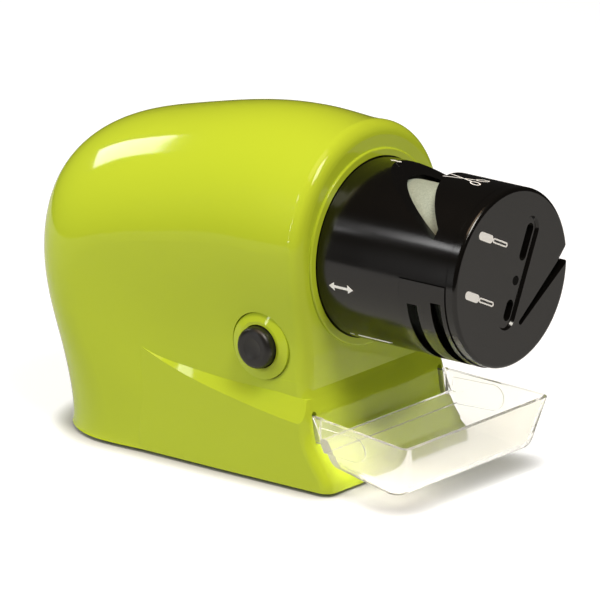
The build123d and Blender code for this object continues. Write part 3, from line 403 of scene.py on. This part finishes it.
MAGNET = Finish("ferrite", (0.03, 0.03, 0.032), (0.05, 0.05, 0.052), roughness=0.6)
CONTACT = Finish("nickel_strip", (0.60, 0.57, 0.50), (0.70, 0.67, 0.60), roughness=0.25, metallic=1.0)
CELL = Finish("cell_sleeve", (0.02, 0.022, 0.03), (0.035, 0.037, 0.045), roughness=0.25)
RUBBER = GrainFinish(
    "foot_rubber", (0.012, 0.012, 0.012), (0.02, 0.02, 0.02), roughness=0.8, grain_depth=0.2
)
PRINT = Finish("white_print", (0.92, 0.92, 0.92), (0.96, 0.96, 0.96), roughness=0.45)


class Palette:
    """Every finish's material, made once."""

    def __init__(self) -> None:
        """Builds the shared effects."""
        self.effects = Effects()
        self.made: dict[Finish, bpy.types.Material] = {}

    def material(self, finish: Finish) -> bpy.types.Material:
        """Gives the material of a finish, and makes it the first time.

        Args:
            finish: The finish.

        Returns:
            Its one material.
        """
        if finish not in self.made:
            self.made[finish] = finish.make(self.effects)
        return self.made[finish]


# ---------------------------------------------------------------------------------------
# Meshes


def mesh_object(name: str, shape: bmesh.types.BMesh, material: bpy.types.Material) -> bpy.types.Object:
    """Turns a bmesh into an object at the origin.

    Args:
        name: The object's name.
        shape: The mesh, which is freed.
        material: Its one material.

    Returns:
        The new object, linked to the scene.
    """
    mesh = bpy.data.meshes.new(name)
    shape.to_mesh(mesh)
    shape.free()
    mesh.materials.append(material)
    thing = bpy.data.objects.new(name, mesh)
    bpy.context.scene.collection.objects.link(thing)
    return thing


def loose_boxes(thing: bpy.types.Object) -> list[tuple[Vector, Vector]]:
    """Measures each separate solid of a node.

    Args:
        thing: The node's object.

    Returns:
        The lowest and highest corners of each solid.
    """
    shape = bmesh.new()
    shape.from_mesh(thing.data)
    bmesh.ops.remove_doubles(shape, verts=shape.verts[:], dist=WELD)
    waiting = set(shape.verts)
    boxes = []
    while waiting:
        edge_of_reach = [waiting.pop()]
        solid = []
        while edge_of_reach:
            vertex = edge_of_reach.pop()
            solid.append(vertex.co.copy())
            for edge in vertex.link_edges:
                other = edge.other_vert(vertex)
                if other in waiting:
                    waiting.remove(other)
                    edge_of_reach.append(other)
        low = Vector([min(point[axis] for point in solid) for axis in range(3)])
        high = Vector([max(point[axis] for point in solid) for axis in range(3)])
        boxes.append((low, high))
    shape.free()
    return sorted(boxes, key=lambda box: tuple(box[0]))


def rounded_bar(start: Point2, end: Point2, width: float, steps: int = 8) -> list[Point2]:
    """Outlines a bar with round ends.

    Args:
        start: Centre of its first end.
        end: Centre of its other end.
        width: Its width.
        steps: Corners in each round end.

    Returns:
        The outline's corners, anticlockwise.
    """
    turn = math.atan2(end[1] - start[1], end[0] - start[0])
    radius = width / 2
    corners = []
    for centre, first in ((end, turn - math.pi / 2), (start, turn + math.pi / 2)):
        for step in range(steps + 1):
            angle = first + math.pi * step / steps
            corners.append((centre[0] + radius * math.cos(angle), centre[1] + radius * math.sin(angle)))
    return corners


def loop_pieces(outer: Sequence[Point2], inner: Sequence[Point2]) -> list[list[Point2]]:
    """Fills the band between two closed outlines with as many corners each.

    Args:
        outer: The outer outline.
        inner: The inner outline, corner for corner.

    Returns:
        One four-cornered outline for each step round the band.
    """
    count = len(outer)
    return [[outer[i], outer[(i + 1) % count], inner[(i + 1) % count], inner[i]] for i in range(count)]


def oval(centre: Point2, radii: Point2, turn: float = 0.0, steps: int = 24) -> list[Point2]:
    """Outlines an oval.

    Args:
        centre: Its centre.
        radii: Its half-length and half-width.
        turn: How far its length is turned, in degrees.
        steps: How many corners it has.

    Returns:
        The outline's corners, anticlockwise.
    """
    lean = math.radians(turn)
    corners = []
    for step in range(steps):
        angle = 2 * math.pi * step / steps
        u, v = radii[0] * math.cos(angle), radii[1] * math.sin(angle)
        corners.append((
            centre[0] + u * math.cos(lean) - v * math.sin(lean),
            centre[1] + u * math.sin(lean) + v * math.cos(lean),
        ))
    return corners


@dataclass
class Icons:
    """The white icons on the head: which way it turns, and what each guide is for.

    Lengths are in millimetres and angles in degrees. An icon's x is how far its left end is from the
    sleeve's rear edge. Its angle is how far round the sleeve it is, from 0 level with the axis on the
    button's side to 90 on top. A step is the distance between the cuts that let an icon follow its
    surface.
    """

    palette: Palette
    frame: dict[str, Any]
    axis_z: float = field(init=False)
    rear_x: float = field(init=False)
    sleeve_radius: float = field(init=False)
    face_x: float = field(init=False)
    ink: float = 0.05
    weld: float = 0.005
    sleeve_step: float = 0.8
    knife_step: float = 0.5
    face_step: float = 5.0
    arrow_angle: float = -10.0
    arrow_x: float = 7.8
    arrow_length: float = 9.9
    notch_arrow_angle: float = 95.0
    notch_arrow_length: float = 4.8
    knife_angle: float = -56.0
    knife_x: float = 6.5
    scissors_angle: float = 90.5
    scissors_x: float = 32.7
    driver_slope: float = -25.3
    driver_places: tuple[Point2, ...] = ((-17.2, 18.7), (-24.4, 0.3))

    def __post_init__(self) -> None:
        """Reads from the frame where the head's axis, its sleeve and its face are."""
        turn = next(joint for joint in self.frame["joints"] if joint["name"] == "head_turn")
        self.axis_z = turn["pos_m"][2] / MM
        low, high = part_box("head_shell")
        self.rear_x, self.sleeve_radius = low[0] / MM, high[1] / MM
        self.face_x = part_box("head_face")[1][0] / MM

    def _print(self, name: str, outlines: Outlines, place: Placing, step: float) -> None:
        """Lays flat outlines on a surface as a thin skin of ink.

        Args:
            name: The piece's name.
            outlines: The outlines, in millimetres.
            place: Gives the point for a place on the surface and a height above it.
            step: Distance between the cuts across the icon.
        """
        shape = bmesh.new()
        for outline in outlines:
            shape.faces.new([shape.verts.new((u, v, 0.0)) for u, v in outline])
        bmesh.ops.triangulate(shape, faces=shape.faces[:])
        low = min(vertex.co.y for vertex in shape.verts)
        high = max(vertex.co.y for vertex in shape.verts)
        for cut in range(1, int((high - low) / step) + 1):
            geometry = shape.verts[:] + shape.edges[:] + shape.faces[:]
            point = (0, low + cut * step, 0)
            bmesh.ops.bisect_plane(shape, geom=geometry, plane_co=point, plane_no=(0, 1, 0))
        bmesh.ops.remove_doubles(shape, verts=shape.verts[:], dist=self.weld)
        grown = bmesh.ops.extrude_face_region(shape, geom=shape.faces[:])
        lifted = {item for item in grown["geom"] if isinstance(item, bmesh.types.BMVert)}
        for vertex in shape.verts:
            vertex.co = MM * place(vertex.co.x, vertex.co.y, self.ink if vertex in lifted else 0.0)
        bmesh.ops.triangulate(shape, faces=shape.faces[:])
        bmesh.ops.recalc_face_normals(shape, faces=shape.faces[:])
        # the tools above leave the faces in no fixed order
        by_place = sorted(shape.faces, key=lambda face: tuple(face.calc_center_median()))
        for rank, face in enumerate(by_place):
            face.index = rank
        shape.faces.sort()
        icon = mesh_object(name, shape, self.palette.material(PRINT))
        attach(icon, Body.HEAD.value)
        LOG.info("%s printed on the head", name)

    def _on_sleeve(self, x: float, angle: float) -> Placing:
        """Gives the placing of an icon on the sleeve.

        Args:
            x: How far the icon's left end is from the sleeve's rear edge.
            angle: Its height round the sleeve, in degrees above the axis on the button's side.

        Returns:
            A function from the icon's own place, and a height, to a point.
        """
        start = self.rear_x + x

        def place(u: float, v: float, height: float) -> Vector:
            """Wraps one point round the sleeve."""
            turn, reach = math.radians(angle) + v / self.sleeve_radius, self.sleeve_radius + height
            return Vector((start + u, -reach * math.cos(turn), self.axis_z + reach * math.sin(turn)))

        return place

    def _on_face(self, across: float, up: float) -> Placing:
        """Gives the placing of an icon on the flat face.

        Args:
            across: Where the icon's left end is across the face.
            up: How high that is above the axis.

        Returns:
            A function from the icon's own place, and a height, to a point.
        """
        slope = math.radians(self.driver_slope)

        def place(u: float, v: float, height: float) -> Vector:
            """Turns one point on the face."""
            return Vector((
                self.face_x + height,
                across + u * math.cos(slope) - v * math.sin(slope),
                self.axis_z + up + u * math.sin(slope) + v * math.cos(slope),
            ))

        return place

    @staticmethod
    def _arrow(length: float) -> Outlines:
        """Outlines an arrow with a head at each end.

        Args:
            length: Its length. A short one has smaller heads.

        Returns:
            The shaft and the two heads.
        """
        head, half_head, half_shaft = min(2.2, 0.3 * length), min(1.5, 0.22 * length), 0.45
        far = length - head
        return [
            [(head, -half_shaft), (far, -half_shaft), (far, half_shaft), (head, half_shaft)],
            [(0.0, 0.0), (head, -half_head), (head, -half_shaft), (head, half_shaft), (head, half_head)],
            [(length, 0.0), (far, half_head), (far, half_shaft), (far, -half_shaft), (far, -half_head)],
        ]

    @staticmethod
    def _driver() -> Outlines:
        """Outlines a screwdriver.

        Returns:
            Its stout handle and its open shaft.
        """
        shaft = rounded_bar((8.8, 0.0), (15.6, 0.0), 1.7)
        hollow = rounded_bar((8.9, 0.0), (15.5, 0.0), 0.7)
        return [rounded_bar((1.4, 0.0), (6.6, 0.0), 2.8), *loop_pieces(shaft, hollow)]

    @staticmethod
    def _knife() -> Outlines:
        """Outlines a long kitchen knife with a dot before it.

        Returns:
            The dot, the handle and the blade.
        """
        return [
            rounded_bar((0.6, 0.0), (1.2, 0.0), 1.2),
            rounded_bar((4.2, 0.0), (8.6, 0.0), 1.4),
            [(9.2, -0.9), (15.6, -0.9), (18.0, 0.5), (9.2, 0.5)],
        ]

    @staticmethod
    def _scissors() -> Outlines:
        """Outlines a pair of scissors, a little open.

        Returns:
            The two blades, each with its oval grip.
        """
        outlines: Outlines = []
        for side in (1.0, -1.0):
            tip = [(0.0, side * 2.0), (0.2, side * 1.6)]
            outlines.append([*tip, (11.3, -side * 1.3), (11.1, -side * 0.8)])
            centre, turn = (13.5, -side * 2.0), -side * 14.0
            outlines += loop_pieces(oval(centre, (2.4, 1.25), turn), oval(centre, (1.95, 0.8), turn))
        return outlines

    def build(self) -> None:
        """Prints every icon."""
        turn, notch = self._arrow(self.arrow_length), self._arrow(self.notch_arrow_length)
        for name, outlines, x, angle, step in (
            ("turn_arrow", turn, self.arrow_x, self.arrow_angle, self.sleeve_step),
            ("notch_arrow", notch, self.arrow_x, self.notch_arrow_angle, self.sleeve_step),
            ("knife_icon", self._knife(), self.knife_x, self.knife_angle, self.knife_step),
            ("scissors_icon", self._scissors(), self.scissors_x, self.scissors_angle, self.sleeve_step),
        ):
            self._print(name, outlines, self._on_sleeve(x, angle), step)
        for number, (across, up) in enumerate(self.driver_places, 1):
            self._print(f"driver_icon_{number}", self._driver(), self._on_face(across, up), self.face_step)


# ---------------------------------------------------------------------------------------
# Repeated shapes


@dataclass
class Repeat:
    """A geometry tree that sets one shape on every point it is given."""

    name: str
    sizes: dict[str, float]

    def tree(self, shape: Callable[[Graph, bpy.types.Node], bpy.types.NodeSocket]) -> bpy.types.NodeTree:
        """Builds the tree.

        Args:
            shape: Adds the nodes of the one shape and returns the socket of its mesh.

        Returns:
            The geometry tree, with a named input for each size and one for the material.
        """
        tree = bpy.data.node_groups.new(self.name, "GeometryNodeTree")
        graph = Graph(tree)
        tree.interface.new_socket(name="Points", in_out="INPUT", socket_type="NodeSocketGeometry")
        for label, value in self.sizes.items():
            socket = tree.interface.new_socket(name=label, in_out="INPUT", socket_type="NodeSocketFloat")
            socket.default_value = value
        tree.interface.new_socket(name="Finish", in_out="INPUT", socket_type="NodeSocketMaterial")
        tree.interface.new_socket(name="Mesh", in_out="OUTPUT", socket_type="NodeSocketGeometry")
        given = graph.add("NodeGroupInput")
        points = graph.add("GeometryNodeMeshToPoints", Mesh=given.outputs["Points"])
        one = shape(graph, given)
        many = graph.add("GeometryNodeInstanceOnPoints", Points=points.outputs[0], Instance=one)
        real = graph.add("GeometryNodeRealizeInstances", Geometry=many.outputs[0])
        finish = given.outputs["Finish"]
        dressed = graph.add("GeometryNodeSetMaterial", Geometry=real.outputs[0], Material=finish)
        graph.add("NodeGroupOutput", Mesh=dressed.outputs[0])
        return tree

    def make(
        self,
        points: Sequence[Vector],
        shape: Callable[[Graph, bpy.types.Node], bpy.types.NodeSocket],
        material: bpy.types.Material,
    ) -> bpy.types.Object:
        """Runs the tree on a set of points and keeps the mesh that it gives.

        Args:
            points: Where the shapes stand, in metres.
            shape: Adds the nodes of the one shape.
            material: What the shapes are dressed in.

        Returns:
            A plain mesh object at the origin.
        """
        mesh = bpy.data.meshes.new(self.name)
        mesh.from_pydata([tuple(point) for point in points], [], [])
        thing = bpy.data.objects.new(self.name, mesh)
        bpy.context.scene.collection.objects.link(thing)
        modifier = thing.modifiers.new(self.name, "NODES")
        modifier.node_group = self.tree(shape)
        for socket in modifier.node_group.interface.items_tree:
            if socket.in_out == "INPUT" and socket.name in self.sizes:
                modifier[socket.identifier] = self.sizes[socket.name]
            elif socket.in_out == "INPUT" and socket.name == "Finish":
                modifier[socket.identifier] = material
        evaluated = thing.evaluated_get(bpy.context.evaluated_depsgraph_get())
        thing.data = bpy.data.meshes.new_from_object(evaluated)
        thing.modifiers.clear()
        return thing


# ---------------------------------------------------------------------------------------
# Sub-assemblies


@dataclass
class Assembly:
    """A sub-assembly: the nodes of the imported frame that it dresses, and the pieces that it adds."""

    palette: Palette
    frame: dict[str, Any]

    def dress(self, finish: Finish, *names: str) -> None:
        """Gives nodes of the frame their finish.

        Args:
            finish: The finish.
            *names: The nodes' names.
        """
        for name in names:
            for slot in self.frame["nodes"][name].material_slots:
                slot.material = self.palette.material(finish)
            LOG.info("%s dressed in %s", name, finish.name)


@dataclass
class Housing(Assembly):
    """The glossy moulded body."""

    def build(self) -> None:
        """Dresses the body."""
        self.dress(GREEN, "housing")


@dataclass
class Base(Assembly):
    """The plate under the housing with its screws, its feet and the battery door.

    Lengths are in millimetres. The shank's middle is a share of its length, and just under half so
    that the shank starts inside the head.
    """

    screw_head_height: float = 1.4
    screw_head_corners: int = 40
    screw_shank_radius: float = 1.3
    screw_shank_corners: int = 24
    screw_shank_middle: float = 0.499
    cross_length: float = 3.3
    cross_width: float = 0.75
    cross_depth: float = 0.8
    rib_count: int = 4
    rib_pitch: float = 2.2
    rib_edge_gap: float = 4.8
    rib_length: float = 22.0
    rib_radius: float = 0.5
    rib_corners: int = 16
    rib_proud: float = 0.3

    @staticmethod
    def _lifted(graph: Graph, mesh: bpy.types.Node, level: Any) -> bpy.types.NodeSocket:
        """Returns the socket of a node's mesh once it is lifted to a level."""
        place = graph.add("ShaderNodeCombineXYZ", Z=level).outputs[0]
        return graph.add("GeometryNodeTransform", Geometry=mesh.outputs[0], Translation=place).outputs[0]

    def _screw(self, graph: Graph, given: bpy.types.Node) -> bpy.types.NodeSocket:
        """Adds the nodes of one screw that points up, with the underside of its head at the origin.

        Args:
            graph: The geometry tree's graph.
            given: The tree's input node.

        Returns:
            The socket of the screw's mesh.
        """
        height, length = given.outputs["Head height"], given.outputs["Shank length"]
        body = graph.add("GeometryNodeMeshBoolean", {"operation": "UNION"})
        for corners, radius, depth, middle in (
            (self.screw_head_corners, given.outputs["Head radius"], height, -0.5),
            (self.screw_shank_corners, given.outputs["Shank radius"], length, self.screw_shank_middle),
        ):
            solid = graph.add("GeometryNodeMeshCylinder", Vertices=corners, Radius=radius, Depth=depth)
            level = graph.math("MULTIPLY", depth, middle)
            graph.tree.links.new(self._lifted(graph, solid, level), body.inputs["Mesh 2"])
        cut = graph.add("GeometryNodeMeshBoolean", {"operation": "DIFFERENCE"}, i0=body.outputs[0])
        # each bar of the cross has its middle on the head's face, so that half of it cuts
        long, wide = given.outputs["Cross length"], given.outputs["Cross width"]
        deep = graph.math("MULTIPLY", given.outputs["Cross depth"], 2.0)
        level = graph.math("MULTIPLY", height, -1.0)
        for x, y in ((long, wide), (wide, long)):
            size = graph.add("ShaderNodeCombineXYZ", X=x, Y=y, Z=deep)
            bar = graph.add("GeometryNodeMeshCube", Size=size.outputs[0])
            graph.tree.links.new(self._lifted(graph, bar, level), cut.inputs["Mesh 2"])
        return cut.outputs[0]

    def _rib(self, graph: Graph, given: bpy.types.Node) -> bpy.types.NodeSocket:
        """Adds the nodes of one round rib that runs across the door.

        Args:
            graph: The geometry tree's graph.
            given: The tree's input node.

        Returns:
            The socket of the rib's mesh.
        """
        half = graph.math("MULTIPLY", given.outputs["Length"], 0.5)
        start = graph.add("ShaderNodeCombineXYZ", Y=graph.math("MULTIPLY", half, -1.0))
        end = graph.add("ShaderNodeCombineXYZ", Y=half)
        line = graph.add("GeometryNodeCurvePrimitiveLine", Start=start.outputs[0], End=end.outputs[0])
        radius = given.outputs["Radius"]
        profile = graph.add("GeometryNodeCurvePrimitiveCircle", Resolution=self.rib_corners, Radius=radius)
        swept = graph.add("GeometryNodeCurveToMesh", Curve=line.outputs[0], i1=profile.outputs[0])
        swept.inputs["Fill Caps"].default_value = True
        return swept.outputs[0]

    def build(self) -> None:
        """Dresses the plate, the door and the feet, and sets the screws and the grip ribs."""
        self.dress(GREEN_BASE, "base_plate", "battery_door")
        self.dress(RUBBER, "feet")
        self.dress(STEEL, "base_screws")
        self._set_screws()
        self._set_ribs()

    def _set_screws(self) -> None:
        """Puts a cross-headed screw in the place of each plain one."""
        boxes = loose_boxes(self.frame["nodes"]["base_screws"])
        low, high = boxes[0]
        head_height = self.screw_head_height * MM
        screws = Repeat("cross_screws", {
            "Head radius": (high.x - low.x) / 2,
            "Head height": head_height,
            "Shank radius": self.screw_shank_radius * MM,
            "Shank length": high.z - low.z - head_height,
            "Cross length": self.cross_length * MM,
            "Cross width": self.cross_width * MM,
            "Cross depth": self.cross_depth * MM,
        })
        seats = [Vector(((a.x + b.x) / 2, (a.y + b.y) / 2, a.z + head_height)) for a, b in boxes]
        made = screws.make(seats, self._screw, self.palette.material(STEEL))
        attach(made, Body.HOUSING.value)
        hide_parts("base_screws")
        LOG.info("%d %s set in the base", len(seats), made.name)

    def _set_ribs(self) -> None:
        """Puts the finger ribs beside the groove of the battery door."""
        low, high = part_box("battery_door")
        ribs = Repeat("door_ribs", {"Length": self.rib_length * MM, "Radius": self.rib_radius * MM})
        level = low[2] + (self.rib_radius - self.rib_proud) * MM
        first = high[0] - self.rib_edge_gap * MM
        lines = [Vector((first - step * self.rib_pitch * MM, 0.0, level)) for step in range(self.rib_count)]
        grip = ribs.make(lines, self._rib, self.palette.material(GREEN_BASE))
        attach(grip, Body.DOOR.value)
        LOG.info("%d %s set on the battery door", len(lines), grip.name)


@dataclass
class PowerButton(Assembly):
    """The power button with its bezel and its switch."""

    def build(self) -> None:
        """Dresses the bezel, the cap and the switch."""
        self.dress(GREEN, "button_bezel")
        self.dress(BLACK_SATIN, "button_cap")
        self.dress(INNER, "switch_plunger", "switch_body")


@dataclass
class Drive(Assembly):
    """The motor, its bracket and the carrier that the head turns on."""

    def build(self) -> None:
        """Dresses the motor and the carrier."""
        self.dress(STEEL, "motor_can", "motor_rotor", "motor_shaft", "motor_screws")
        self.dress(STEEL, "carrier_screws", "snap_ring", "arbor_bearing")
        self.dress(MAGNET, "motor_magnets")
        self.dress(CONTACT, "motor_terminals")
        self.dress(INNER, "motor_end_cap", "motor_bracket", "head_carrier")


@dataclass
class Wheel(Assembly):
    """The grinding wheel on its arbor."""

    def build(self) -> None:
        """Dresses the wheel."""
        self.dress(ABRASIVE, "grinding_drum", "grinding_disc")
        self.dress(INNER, "wheel_hub")
        self.dress(STEEL, "wheel_arbor", "wheel_washer", "wheel_screw")


@dataclass
class Head(Assembly):
    """The turning head with its printed icons."""

    def build(self) -> None:
        """Dresses the head and prints its icons."""
        self.dress(BLACK, "head_shell", "swarf_panel", "head_face")
        self.dress(BLACKENED, "face_screw")
        Icons(self.palette, self.frame).build()


@dataclass
class BatteryBay(Assembly):
    """The cells, their box and their contacts."""

    def build(self) -> None:
        """Dresses the bay."""
        self.dress(INNER, "battery_box")
        self.dress(CELL, "battery_cells")
        self.dress(CONTACT, "contact_plates", "contact_springs")


@dataclass
class Tray(Assembly):
    """The clear catch tray."""

    def build(self) -> None:
        """Dresses the tray."""
        self.dress(CLEAR, "catch_tray")


# ---------------------------------------------------------------------------------------
# Studio


def bearing(azimuth: float, elevation: float) -> Vector:
    """Gives a direction from the object.

    Args:
        azimuth: Degrees round from the button's side, towards the head.
        elevation: Degrees above the table.

    Returns:
        The direction, of length one.
    """
    turn, rise = math.radians(azimuth), math.radians(elevation)
    return Vector((math.sin(turn) * math.cos(rise), -math.cos(turn) * math.cos(rise), math.sin(rise)))


@dataclass(frozen=True)
class Softbox:
    """A rectangular lamp that faces the object.

    Angles are in degrees, lengths in metres and power in watts. A lamp that isn't mirrored lights the
    object and shows in no gloss.
    """

    name: str
    azimuth: float
    elevation: float
    distance: float
    width: float
    height: float
    power: float
    tint: Colour = (1.0, 1.0, 1.0)
    mirrored: bool = True

    def build(self, centre: Vector) -> None:
        """Hangs the lamp.

        Args:
            centre: The point that it faces.
        """
        lamp = bpy.data.lights.new(self.name, "AREA")
        lamp.shape = "RECTANGLE"
        lamp.size, lamp.size_y = self.width, self.height
        lamp.energy = self.power
        lamp.color = self.tint
        thing = bpy.data.objects.new(self.name, lamp)
        toward = bearing(self.azimuth, self.elevation)
        thing.location = centre + toward * self.distance
        thing.rotation_euler = toward.to_track_quat("Z", "Y").to_euler()
        thing.visible_camera = False
        thing.visible_glossy = self.mirrored
        bpy.context.scene.collection.objects.link(thing)


@dataclass
class Studio:
    """The pale table, the soft lamps and the camera.

    Angles are in degrees and lengths in metres, apart from the sensor's width in millimetres. Glow is
    what the camera sees of the table or the room, gloss what polished pieces mirror of them, and the
    room's light what falls on the object from all round. The painted-shadow values paint a contact
    shadow: they dim the table's glow close under the object. The two glints hang close by, so that each
    shows on one end of the sleeve alone.
    """

    azimuth: float = 38.6
    elevation: float = 17.1
    distance: float = 4.0
    view_width: float = 0.1974
    sensor_width: float = 36.0
    nearest: float = 0.1
    farthest: float = 40.0
    target: Vector = field(default_factory=lambda: Vector((0.00424, 0.0, 0.0508)))
    table_radius: float = 0.6
    table_corners: int = 96
    table_glow: float = 0.75
    table_gloss: float = 0.25
    table_grey: float = 0.43
    painted_shadow_samples: int = 16
    painted_shadow_reach: float = 0.009
    painted_shadow_depth: float = 3.2
    room_glow: float = 1.0
    room_light: float = 0.05
    room_gloss: float = 0.02
    # name, azimuth, elevation, distance, width, height, power and tint
    lamps: tuple[Softbox, ...] = (
        Softbox("key", 63.0, 57.0, 1.2, 0.36, 0.5, 10.8, (1.0, 0.95, 0.86)),
        Softbox("overhead", -14.0, 74.0, 1.0, 0.55, 0.55, 3.3, (1.0, 0.71, 0.46)),
        Softbox("tray_light", 92.0, 29.0, 1.2, 0.36, 0.05, 1.7, (1.0, 0.92, 0.78), mirrored=False),
        Softbox("side_fill", -35.0, 22.0, 1.2, 0.5, 0.5, 5.3, (0.98, 1.0, 1.0), mirrored=False),
        Softbox("tail_panel", -91.0, 31.0, 0.9, 0.24, 0.2, 1.6),
        Softbox("front_strip", -24.0, 9.0, 0.8, 0.03, 0.3, 0.5),
        Softbox("rear_glint", -30.5, 33.1, 0.271, 0.006, 0.022, 0.0030),
        Softbox("front_glint", -21.7, 41.7, 0.256, 0.005, 0.018, 0.0024),
        Softbox("ledge_panel", -33.0, 36.0, 0.9, 0.11, 0.10, 0.36),
    )

    def camera(self) -> None:
        """Sets up the long lens that looks a little down on the near front corner."""
        lens = bpy.data.cameras.new("view")
        lens.sensor_width = self.sensor_width
        lens.lens = self.sensor_width * self.distance / self.view_width
        lens.clip_start, lens.clip_end = self.nearest, self.farthest
        thing = bpy.data.objects.new("view", lens)
        back = bearing(self.azimuth, self.elevation)
        thing.location = self.target + back * self.distance
        thing.rotation_euler = back.to_track_quat("Z", "Y").to_euler()
        bpy.context.scene.collection.objects.link(thing)
        bpy.context.scene.camera = thing

    def table(self) -> None:
        """Lays the pale table, which the camera sees as white with the lamps' shadow of the object on it
        and a painted contact shadow close under the object.
        """
        shape = bmesh.new()
        bmesh.ops.create_circle(shape, cap_ends=True, radius=self.table_radius, segments=self.table_corners)
        material = bpy.data.materials.new("pale_table")
        material.use_nodes = True
        graph = Graph(material.node_tree)
        path = graph.add("ShaderNodeLightPath")
        matt = graph.add("ShaderNodeBsdfDiffuse", Color=(*[self.table_grey] * 3, 1.0))
        # painted contact shadow: ambient occlusion dims the glow that the camera sees close under the
        # object
        samples = {"samples": self.painted_shadow_samples}
        occlusion_for_painted_shadow = graph.add("ShaderNodeAmbientOcclusion", samples, Distance=self.painted_shadow_reach)
        painted_shadow_factor = graph.math("POWER", occlusion_for_painted_shadow.outputs["AO"], self.painted_shadow_depth)
        direct = graph.math("MULTIPLY", path.outputs["Is Camera Ray"], painted_shadow_factor)
        seen = graph.math("MAXIMUM", direct, path.outputs["Is Transmission Ray"])
        plain = graph.math("MULTIPLY", seen, self.table_glow)
        gloss = graph.math("MULTIPLY", path.outputs["Is Glossy Ray"], self.table_gloss)
        strength = graph.math("ADD", plain, gloss)
        glow = graph.add("ShaderNodeEmission", Color=WHITE, Strength=strength)
        both = graph.add("ShaderNodeAddShader", i0=matt.outputs[0], i1=glow.outputs[0])
        graph.add("ShaderNodeOutputMaterial", Surface=both.outputs[0])
        mesh_object("table", shape, material)

    def world(self) -> None:
        """Fills the room with pale light, white where the camera looks past the table."""
        room = bpy.data.worlds.new("room")
        room.use_nodes = True
        graph = Graph(room.node_tree)
        path = graph.add("ShaderNodeLightPath")
        dim = graph.add("ShaderNodeBackground", Color=WHITE, Strength=self.room_light)
        dark = graph.add("ShaderNodeBackground", Color=WHITE, Strength=self.room_gloss)
        pale = graph.add("ShaderNodeBackground", Color=WHITE, Strength=self.room_glow)
        glossy = path.outputs["Is Glossy Ray"]
        gloss = graph.add("ShaderNodeMixShader", i0=glossy, i1=dim.outputs[0], i2=dark.outputs[0])
        plain = graph.math("MAXIMUM", path.outputs["Is Camera Ray"], path.outputs["Is Transmission Ray"])
        both = graph.add("ShaderNodeMixShader", i0=plain, i1=gloss.outputs[0], i2=pale.outputs[0])
        graph.add("ShaderNodeOutputWorld", Surface=both.outputs[0])
        bpy.context.scene.world = room

    def build(self) -> None:
        """Sets up the camera, the table, the room and every lamp."""
        self.camera()
        self.table()
        self.world()
        for lamp in self.lamps:
            lamp.build(self.target)
        bpy.context.scene.view_settings.view_transform = "Standard"


def main() -> None:
    """Builds the dressed sharpener and its studio."""
    logging.basicConfig(level=logging.INFO, format="%(name)s: %(message)s")
    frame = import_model()
    palette = Palette()
    for assembly in (Housing, Base, PowerButton, Drive, Wheel, Head, BatteryBay, Tray):
        assembly(palette, frame).build()
        LOG.info("%s finished", assembly.__name__)
    Studio().build()


if __name__ == "__main__":
    main()
